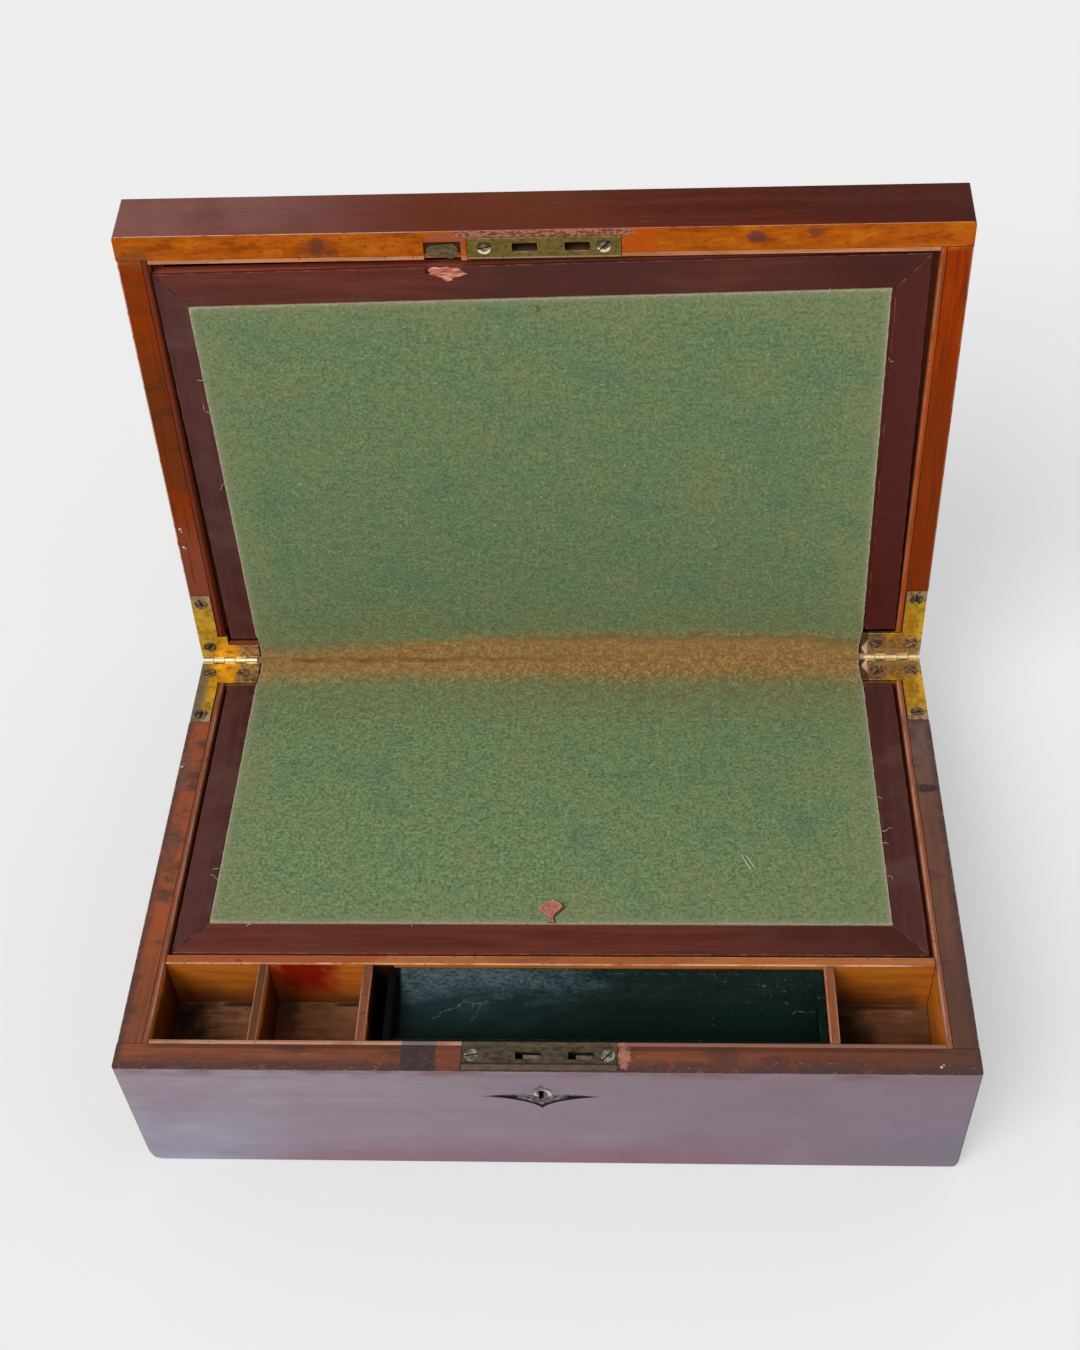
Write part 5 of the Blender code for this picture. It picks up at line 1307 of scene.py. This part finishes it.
# Baize: one cloth over both flaps and the fold, in three lengths that meet on the back rims
FOLD_DEPTH = 0.0010
FOLD_END = 0.0090
FOLD_RADIUS = 0.0018
FOLD_CENTRE = FOLD_RADIUS - FOLD_DEPTH
FOLD_HALF = 0.1482
FOLD_ROWS = 41
TONGUE_HALF, TONGUE_END = 0.0018, 0.1501
# Half the length in which a flap's cloth goes from the back rim to the flap, and in which it bends
CHANGE_HALF, BEND_HALF = 0.003, 0.0016
# Unevenness of the cloth: height and size of its waves with a seed, and of its hems
WAVES = ((0.00012, 0.03, 5.0), (0.00008, 0.009, 9.0))
WAVES_START = 0.01
FOLD_WAVE = (0.0002, 0.02, 3.0)
SIDE_HEM, FRONT_HEM, HEM_SIZE, FOLD_HEM_SIZE = 0.0003, 0.00025, 0.004, 0.003
LEFT_SEED, RIGHT_SEED, FRONT_SEED, FOLD_SEED = 7.0, 3.0, 2.0, 9.0


def face_out(piece, rim):
    """Turns a sheet's faces towards the reader."""
    out = -np.array(rim.to_3x3())[:, 2]
    if np.dot(piece.data.polygons[0].normal, out) < 0:
        piece.data.flip_normals()


def thicken(piece, rim, thickness):
    """Gives a sheet its thickness on the side away from the reader."""
    face_out(piece, rim)
    step = piece.modifiers.new("thickness", "SOLIDIFY")
    step.thickness = thickness
    step.offset = -1.0
    graph = bpy.context.evaluated_depsgraph_get()
    mesh = bpy.data.meshes.new_from_object(piece.evaluated_get(graph))
    mesh.name = piece.data.name
    mesh.set_sharp_from_angle(angle=HEM_ANGLE)
    piece.modifiers.clear()
    piece.data = mesh


def cloth_piece(name, rows, columns, stitch, rim, trim, paint):
    """A cloth from stitch(row, column): a point, its place on the cloth and its distance from a hem."""
    stitches = [stitch(row, column) for row in range(rows) for column in range(columns)]
    points, places, hems = zip(*stitches)
    shape = bmesh.new()
    verts = [shape.verts.new(point) for point in points]
    grid = [verts[start : start + columns] for start in range(0, len(verts), columns)]
    mesh = sheet_mesh(shape, grid, f"{name}_mesh")
    mark(mesh, "place", places)
    mark(mesh, "hem", hems)
    piece = add_piece(name, mesh, None, [paint])
    thicken(piece, rim, trim.baize_thickness)
    return piece


def flap_cloth(word, trim, paint):
    """The cloth of one flap and of the back rim behind it."""
    rim, body = BORDERS[word]
    part, sign = ("base", -1.0) if word == "lower" else ("lid", 1.0)
    back = RIMS[part]
    out = -np.array(back.to_3x3())[:, 2]
    _, _, _, _, half, front = flap_sizes(word)
    bend = local([rim.translation], back)[0][1]
    total = bend + front - FOLD_END
    rows = round(total / trim.baize_grid)
    columns = round(2 * half / trim.baize_grid)

    def stitch(row, column):
        run = FOLD_END + total * row / (rows - 1)
        share = column / (columns - 1)
        place = ((2 * share - 1) * half / MM, sign * run / MM, 0.0)
        hem = min(share * 2 * half, (1 - share) * 2 * half, FOLD_END + total - run) / MM
        on_flap = min(1.0, max(0.0, (run - bend + CHANGE_HALF) / (2 * CHANGE_HALF)))
        on_flap = on_flap * on_flap * (3 - 2 * on_flap)
        x = (2 * share - 1) * (FOLD_HALF + (half - FOLD_HALF) * on_flap)
        if column in (0, columns - 1):
            x += SIDE_HEM * ripple(run, LEFT_SEED if share < 0.5 else RIGHT_SEED, HEM_SIZE)
        if row == rows - 1:
            run += FRONT_HEM * ripple(x, FRONT_SEED, HEM_SIZE)
        wave = sum(height * ripple(x, run, size, seed) for height, size, seed in WAVES)
        wave *= min(1.0, (run - FOLD_END) / WAVES_START)
        flat = world([(x, run, FOLD_DEPTH)], back)[0]
        lying = world([(x - rim.translation.x * on_flap, run - bend, 0.0)], rim)[0]
        return flat * (1.0 - on_flap) + lying * on_flap + out * wave, place, hem

    piece = cloth_piece(f"{word}_baize", rows, columns, stitch, back, trim, paint)
    first = world([(0.0, bend - BEND_HALF, FOLD_DEPTH)], back)[0]
    last = world([(0.0, bend + BEND_HALF, FOLD_DEPTH)], back)[0]
    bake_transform(piece, part, body, start=tuple(first), end=tuple(last))
    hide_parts(f"{word}_flap_baize")
    2 * half


def fold_cloth(trim, paint):
    """The cloth between the hinges, bent from the base's rim up to the lid's."""
    reach = FOLD_END - FOLD_CENTRE
    arc = FOLD_RADIUS * math.pi / 2
    total = 2 * reach + arc
    columns = round(2 * FOLD_HALF / trim.baize_grid)
    height, size, seed = FOLD_WAVE

    def section(run):
        """Distance from the hinge and height above the base's rim of a point along the fold."""
        if run < reach:
            return FOLD_END - run, -FOLD_DEPTH
        if run > reach + arc:
            return -FOLD_DEPTH, FOLD_CENTRE + run - reach - arc
        angle = (run - reach) / FOLD_RADIUS
        return FOLD_CENTRE - FOLD_RADIUS * math.sin(angle), FOLD_CENTRE - FOLD_RADIUS * math.cos(angle)

    def stitch(row, column):
        run = total * row / (FOLD_ROWS - 1)
        share = column / (columns - 1)
        x = (2 * share - 1) * FOLD_HALF
        place = (x / MM, (run - total / 2) / (total / 2) * FOLD_END / MM, 0.0)
        hem = min(share, 1 - share) * 2 * FOLD_HALF / MM
        if column in (0, columns - 1):
            side = math.copysign(1.0, x)
            at_crease = abs(run - total / 2) < TONGUE_HALF
            ragged = SIDE_HEM * (1.0 + ripple(run, share * FOLD_SEED, FOLD_HEM_SIZE))
            x = side * TONGUE_END if at_crease else x - side * ragged
        d, lift = section(run)
        lift += height * ripple(x, run, size, seed) * math.sin(math.pi * row / (FOLD_ROWS - 1))
        return world([(x, d, -lift)], BASE_RIM)[0], place, hem

    piece = cloth_piece("fold_baize", FOLD_ROWS, columns, stitch, BASE_RIM, trim, paint)
    first = world([(0.0, FOLD_CENTRE, FOLD_DEPTH)], BASE_RIM)[0]
    last = world([(0.0, -FOLD_DEPTH, -FOLD_CENTRE)], BASE_RIM)[0]
    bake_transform(piece, "base", "lid", start=tuple(first), end=tuple(last))
    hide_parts("base_fold_baize", "lid_fold_baize")


# Loose threads: place on a flap's edge, direction and length, in millimetres
THREADS = {
    "lower": (
        (-148.9, 118.0, -0.9, 0.5, 4.0),
        (-148.9, 125.0, -0.8, -0.4, 5.0),
        (148.9, 70.0, 0.35, 1.0, 9.0),
        (148.9, 96.0, 0.9, -0.2, 6.0),
        (149.0, 103.0, 0.8, 0.5, 3.0),
        (149.2, 122.0, 0.6, 0.7, 3.5),
        (-60.0, 149.2, 0.4, 0.9, 3.0),
        (-130.0, 149.2, -0.5, 0.7, 4.0),
    ),
    "upper": (
        (-149.2, 139.0, -0.5, 0.8, 7.0),
        (-149.2, 155.0, -0.7, 0.5, 5.0),
        (-149.2, 99.0, -0.7, -0.6, 6.0),
        (148.5, 160.0, 0.8, -0.5, 3.5),
        (120.0, 193.0, 0.6, 0.7, 4.0),
    ),
}
# Pieces of a thread, its swing in radians, the swing's step, and its height at the ends and in the middle
THREAD_PARTS, THREAD_SWING, THREAD_STEP, THREAD_LOW, THREAD_RISE = 7, 0.7, 0.8, 0.15, 0.5


def thread_points(x, d, run_x, run_d, length, rim):
    """Points along a curling thread that arches over a flap."""
    heading = math.atan2(run_d, run_x)
    points, here = [], Vector((x, d))
    for index in range(THREAD_PARTS + 1):
        bend = heading + THREAD_SWING * math.sin(index * THREAD_STEP + d)
        height = -THREAD_LOW - THREAD_RISE * math.sin(math.pi * index / THREAD_PARTS)
        points.append(tuple(world([(here.x * MM, here.y * MM, height * MM)], rim)[0]))
        here += Vector((math.cos(bend), math.sin(bend))) * (length / THREAD_PARTS)
    return points


class SLOPE_OT_baize(bpy.types.Operator):
    """Baize over the flaps and the fold, with loose threads along its cut edges"""

    bl_idname = "slope.baize"
    bl_label = "Baize"

    def execute(self, context):
        trim = context.scene.slope_trim
        baize = paint_baize(trim)
        thread = paint_plain("loose_thread", (0.330, 0.330, 0.200), (0.500, 0.440, 0.320), 2.0, 0.95)
        fold_cloth(trim, baize)
        for word, (rim, body) in BORDERS.items():
            flap_cloth(word, trim, baize)
            shape = bmesh.new()
            for row in THREADS[word]:
                tube(thread_points(*row, rim), trim.thread_radius, shape)
            bmesh.ops.recalc_face_normals(shape, faces=shape.faces)
            mesh = mark_place(finished_mesh(shape, f"{word}_threads_mesh"), RIMS[body])
            add_piece(f"{word}_loose_threads", mesh, body, [thread])
        return {"FINISHED"}


# How much of steel's colour the screws of each fitting have, and how dirty single screws are
STEEL_SCREWS = {"base_lock": 1.0, "lid_lock": 0.3}
GRIMY_SCREWS = {
    "base_hinge_screw_left_side": 0.95,
    "lid_hinge_screw_left_corner": 0.7,
    "lid_hinge_screw_right_side": 0.6,
}
OTHER_GRIME = 0.3
# Rounding of the screws, in metal roundings
SCREW_ROUND = 0.7


class SLOPE_OT_hinges(bpy.types.Operator):
    """Brass corner hinges, and the screws of the hinges and the lock"""

    bl_idname = "slope.hinges"
    bl_label = "Hinges"

    def execute(self, context):
        trim = context.scene.slope_trim
        brass, screw = paint_brass(trim), paint_screw()
        for node in frame["nodes"]:
            if "hinge_leaf" in node:
                piece = dress(node, trim.metal_round, [brass], least=0.0035, segments=2)
                smoked = float(node == "base_hinge_leaf_left")
                mark_all(piece.data, smoked=smoked, in_lid=float(BODY_OF[node] == "lid"))
            elif "_screw" in node:
                piece = dress(node, trim.metal_round * SCREW_ROUND, [screw], least=0.0007, segments=1)
                steel = STEEL_SCREWS.get(node[: node.index("_screw")], 0.0)
                grimy = GRIMY_SCREWS.get(node, OTHER_GRIME)
                mark_all(piece.data, steel=steel, grimy=grimy, rubbed=float(node.startswith("lid_lock")))
        return {"FINISHED"}


# How dull and how bare the lock's pieces and the catch are, and whether their edges are rounded
LOCK_PIECES = {
    "base_lock_plate": (0.9, 0.1, True),
    "lid_lock_plate": (0.0, 0.0, True),
    "lock_case": (1.0, 0.0, False),
    "lock_carrier": (1.0, 0.0, False),
    "lock_hooks": (0.6, 0.9, True),
    "flap_catch": (0.45, 0.2, True),
}


class SLOPE_OT_lock(bpy.types.Operator):
    """Lock plates, the lock behind them, the keyhole inlay and the flap's catch"""

    bl_idname = "slope.lock"
    bl_label = "Lock"

    def execute(self, context):
        trim = context.scene.slope_trim
        plate = paint_plate(trim)
        for node, (dulled, bared, rounded) in LOCK_PIECES.items():
            piece = dress(node, trim.metal_round if rounded else 0.0, [plate], least=0.003, segments=2)
            mark_all(piece.data, dulled=dulled, bared=bared)
        low, high = node_span("keyhole_escutcheon", Matrix.Identity(4))
        front = surface((0.0, BOX_FRONT, (low[2] + high[2]) / 2), (1, 0, 0), (0, 0, 1), (0, 1, 0))
        dress("keyhole_escutcheon", 0.0, [paint_horn(context.scene.slope_wood)], rim=front)
        return {"FINISHED"}


# Pull tab: distance from its root, left and right edge, in millimetres
TAB_ROWS = (
    (0.0, -1.6, 1.6),
    (1.8, -0.9, 1.0),
    (3.0, -0.8, 0.9),
    (4.3, -1.9, 1.7),
    (5.7, -3.3, 2.9),
    (7.0, -4.6, 4.2),
    (8.2, -5.6, 5.2),
    (9.3, -4.7, 4.5),
    (10.3, -3.2, 3.2),
    (11.2, -1.7, 1.7),
    (11.8, -0.7, 0.6),
)
TAB_COLUMNS = 8
TAB_THICKNESS = 0.0006
# Height of a ply and its rise along the tab, the curl and where it is full, and the unevenness and its size
TAB_HEIGHT, TAB_RISE, TAB_CURL, FULL_CURL, TAB_SHAKE, SHAKE_SIZE = 0.25, 0.04, 0.8, 7.0, 0.15, 2.5
STUB_ROUND = 0.0002
# Torn wood beside the catch, on the lid's rim: x and distance from the hinge, in millimetres
SPLINTER = (
    *((-46.2, 222.8), (-44.4, 222.9), (-41.6, 222.8), (-38.8, 222.9), (-36.0, 222.8), (-33.2, 222.9)),
    *((-30.4, 222.2), (-33.9, 221.0), (-36.2, 220.4), (-37.4, 219.1), (-39.6, 218.6), (-41.4, 220.4)),
    *((-44.0, 221.4), (-46.6, 221.9)),
)
# Torn bed of the notch in front of it
TORN_BED = (
    *((-46.4, 224.4), (-44.6, 224.9), (-42.0, 224.5), (-39.4, 224.8), (-37.0, 224.3), (-34.6, 224.0)),
    *((-33.0, 223.2), (-33.0, 222.8), (-40.0, 222.8), (-47.2, 222.8)),
)
TORN_DEPTH = 0.0016
TORN_ROUND = 0.00015
# Outline and top of each torn piece
TORN_PIECES = {
    "torn_splinter": (SPLINTER, STRIP_TOP - 0.0004),
    "torn_bed": (TORN_BED, STRIP_TOP + 0.0007),
}
# Flecks of old paint: x and distance from the hinge, and size, in millimetres
FLECKS = {
    "base": ((-176.4, 72.7, 0.7), (-175.7, 71.2, 0.4), (161.6, 239.6, 0.7), (162.6, 238.6, 0.4)),
    "lid": ((-175.1, 85.5, 0.8), (-174.6, 83.9, 0.4), (-175.2, 74.3, 0.7), (-174.4, 73.4, 0.4)),
}
# Rings of a fleck: share of its size, and depth in millimetres
FLECK_RINGS = ((1.0, 0.05), (0.75, -0.14), (0.35, -0.22))
FLECK_SIDES = 10
FLECK_SHAKE, FLECK_WAVE = 0.35, 0.9


def tab_ply(name, aside, raised, paint):
    """One ply of the pull tab, curled up at its right, moved aside and raised by millimetres."""
    low, high = node_span("lower_pull_tab", LOWER_FLAP)
    root, middle = high[1] / MM, (low[0] + high[0]) / 2 / MM + aside
    shape = bmesh.new()
    grid = []
    for step, left, right in TAB_ROWS:
        row = []
        for column in range(TAB_COLUMNS + 1):
            share = column / TAB_COLUMNS
            x = middle + left + (right - left) * share
            curl = TAB_CURL * share**2 * min(1.0, step / FULL_CURL)
            lift = TAB_HEIGHT + raised + TAB_RISE * step + curl + TAB_SHAKE * ripple(x, step, SHAKE_SIZE)
            row.append(shape.verts.new(world([(x * MM, (root - step) * MM, -lift * MM)], LOWER_FLAP)[0]))
        grid.append(row)
    mesh = sheet_mesh(shape, grid, f"{name}_mesh")
    columns = [column for _ in grid for column in range(TAB_COLUMNS + 1)]
    mark(mesh, "arris", [float(column in (0, TAB_COLUMNS)) for column in columns])
    piece = add_piece(name, mesh, None, [paint])
    thicken(piece, LOWER_FLAP, TAB_THICKNESS)
    mark_place(piece.data, LOWER_FLAP)
    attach(piece, "lower_flap")
    return piece


def fleck_mesh(spots, rim, name):
    """Low ragged blobs on a rim."""
    shape = bmesh.new()
    for x, d, size in spots:
        rings = []
        for radius, depth in FLECK_RINGS:
            ring = []
            for side in range(FLECK_SIDES):
                angle = math.tau * side / FLECK_SIDES
                right, down = math.cos(angle), math.sin(angle)
                out = size * radius * (1.0 + FLECK_SHAKE * ripple(right + x, down + d, FLECK_WAVE))
                spot = np.array((x + out * right, d + out * down, depth)) * MM
                ring.append(shape.verts.new(world([spot], rim)[0]))
            rings.append(ring)
        join_rows(shape, rings, closed=True)
    bmesh.ops.recalc_face_normals(shape, faces=shape.faces)
    return finished_mesh(shape, name)


class SLOPE_OT_tabs(bpy.types.Operator):
    """The leather pull tab with a dark ply painted as its shadow, the torn stub of the other one, the
    splinter by the catch and flecks of paint
    """

    bl_idname = "slope.tabs"
    bl_label = "Tabs"

    def execute(self, context):
        leather = paint_leather(context.scene.slope_trim)
        # The lower ply, a fold of the leather set aside, is painted dark as the tab's shadow.
        shadowed = paint_plain("tab_underside", (0.040, 0.014, 0.010), (0.120, 0.040, 0.026), 1.2, 0.8)
        upper_ply = tab_ply("leather_pull_tab", 0.0, 0.35, leather)
        tab_ply("tab_shadow_ply", 0.8, 0.0, shadowed)
        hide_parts("lower_pull_tab")
        stub = paint_plain("bleached_leather", (0.100, 0.085, 0.034), (0.340, 0.285, 0.150), 0.9, 0.8)
        dress("upper_tab_stub", STUB_ROUND, [stub], least=0.0002, segments=2)
        torn = paint_splinter()
        for name, (spots, top) in TORN_PIECES.items():
            places = world([(x * MM, d * MM, TORN_DEPTH) for x, d in spots], LID_RIM)
            outline = [(x, d) for x, d, _ in local(places, UPPER_FLAP)]
            mesh = prism(outline, (top, STRIP_BOTTOM), UPPER_FLAP, TORN_ROUND, f"{name}_mesh")
            mark_place(mesh, LID_RIM, seed=61)
            add_piece(name, mesh, "upper_flap", [torn])
        fleck = paint_plain("paint_fleck", (0.360, 0.300, 0.270), (0.600, 0.540, 0.500), 0.6, 0.7)
        for body, spots in FLECKS.items():
            mesh = mark_place(fleck_mesh(spots, RIMS[body], f"{body}_flecks_mesh"), RIMS[body])
            add_piece(f"{body}_paint_flecks", mesh, body, [fleck])
        return {"FINISHED"}


# Stage: the lamp's direction, width in degrees and strength, then the sky, the floor and the camera
LAMP_TOWARDS, LAMP_WIDTH, LAMP_STRENGTH = (-0.45, -0.50, 0.74), 35.0, 1.75
SKY_LEVEL = 0.58
FLOOR_RADIUS = 6.0
FLOOR_TONE = (0.8607, 0.8607, 0.8607)
FLOOR_ROUGHNESS = 0.9
FLOOR_LEVEL = (0.865, 0.865, 0.865)
FLOOR_WHITE = 0.45
CAMERA_PLACE = (0.0404, -0.4945, 0.8123)
CAMERA_TURN = (5.553, 51.062, -4.600)
CAMERA_LENS, CAMERA_SENSOR = 52.45, 36.0
CAMERA_SHIFT = (0.0154, -0.0032)
CAMERA_NEAR = 0.01


def paint_floor():
    """Pale floor that keeps a light shadow of the object."""
    floor = Tree(bpy.data.materials.new("pale_floor"), "Principled BSDF")
    floor.set_sockets(Base_Color=FLOOR_TONE, Roughness=FLOOR_ROUGHNESS, Specular_IOR_Level=0.0)
    white = floor.node("ShaderNodeEmission", None, {"Color": FLOOR_LEVEL})
    floor.show(white, floor.seen_directly() * FLOOR_WHITE, "Material Output")
    return floor.owner


def paint_sky():
    """Even light on the object, and the floor's own white where the camera or a reflection sees past it."""
    sky = Tree(bpy.data.worlds.new("studio"), "Background")
    sky.set_sockets(Color=(1.0, 1.0, 1.0), Strength=SKY_LEVEL)
    white = sky.node("ShaderNodeBackground", None, {"Color": FLOOR_LEVEL})
    sky.show(white, sky.seen_directly(), "World Output")
    return sky.owner


def add_lamp(scene):
    """One wide sun."""
    lamp = bpy.data.lights.new("key_lamp", "SUN")
    lamp.angle = math.radians(LAMP_WIDTH)
    lamp.energy = LAMP_STRENGTH
    holder = bpy.data.objects.new("key_lamp", lamp)
    holder.rotation_euler = Vector(LAMP_TOWARDS).to_track_quat("Z", "Y").to_euler()
    scene.collection.objects.link(holder)


def add_camera(scene):
    """A camera at the photograph's place, leaning as it does."""
    turn, rise, roll = (math.radians(angle) for angle in CAMERA_TURN)
    back = Vector((math.sin(turn) * math.cos(rise), -math.cos(turn) * math.cos(rise), math.sin(rise)))
    right = (-back).cross(Vector((0, 0, 1))).normalized()
    up = right.cross(-back)
    leaning_right = right * math.cos(roll) + up * math.sin(roll)
    leaning_up = up * math.cos(roll) - right * math.sin(roll)
    camera = bpy.data.cameras.new("camera")
    camera.lens = CAMERA_LENS
    camera.sensor_width = CAMERA_SENSOR
    camera.shift_x, camera.shift_y = CAMERA_SHIFT
    camera.clip_start = CAMERA_NEAR
    holder = bpy.data.objects.new("camera", camera)
    holder.matrix_world = surface(CAMERA_PLACE, leaning_right, leaning_up, back)
    scene.collection.objects.link(holder)
    scene.camera = holder


class SLOPE_OT_stage(bpy.types.Operator):
    """Pale floor, soft studio light and the camera"""

    bl_idname = "slope.stage"
    bl_label = "Stage"

    def execute(self, context):
        scene = context.scene
        scene.view_settings.view_transform = "Standard"
        shape = bmesh.new()
        bmesh.ops.create_circle(shape, cap_ends=True, segments=96, radius=FLOOR_RADIUS)
        floor = bpy.data.objects.new("floor", finished_mesh(shape, "floor_mesh"))
        scene.collection.objects.link(floor)
        floor.data.materials.append(paint_floor())
        scene.world = paint_sky()
        add_lamp(scene)
        add_camera(scene)
        return {"FINISHED"}


OPERATORS = (
    SLOPE_OT_boards,
    SLOPE_OT_linings,
    SLOPE_OT_tray,
    SLOPE_OT_flaps,
    SLOPE_OT_baize,
    SLOPE_OT_hinges,
    SLOPE_OT_lock,
    SLOPE_OT_tabs,
    SLOPE_OT_stage,
)


class SLOPE_PT_panel(bpy.types.Panel):
    """Lists the pieces of the writing slope"""

    bl_idname = "SLOPE_PT_panel"
    bl_label = "Writing slope"
    bl_space_type = "VIEW_3D"
    bl_region_type = "UI"
    bl_category = "Writing slope"

    def draw(self, context):
        for operator in OPERATORS:
            self.layout.operator(operator.bl_idname)
        for settings in (context.scene.slope_wood, context.scene.slope_trim):
            for name in settings.__annotations__:
                self.layout.prop(settings, name)


CLASSES = (SlopeWood, SlopeTrim, *OPERATORS, SLOPE_PT_panel)


def register():
    for kind in CLASSES:
        bpy.utils.register_class(kind)
    bpy.types.Scene.slope_wood = bpy.props.PointerProperty(type=SlopeWood)
    bpy.types.Scene.slope_trim = bpy.props.PointerProperty(type=SlopeTrim)


def unregister():
    del bpy.types.Scene.slope_trim
    del bpy.types.Scene.slope_wood
    for kind in reversed(CLASSES):
        bpy.utils.unregister_class(kind)


def main():
    register()
    bpy.ops.slope.boards()
    bpy.ops.slope.linings()
    bpy.ops.slope.tray()
    bpy.ops.slope.flaps()
    bpy.ops.slope.baize()
    bpy.ops.slope.hinges()
    bpy.ops.slope.lock()
    bpy.ops.slope.tabs()
    bpy.ops.slope.stage()


if __name__ == "__main__":
    main()
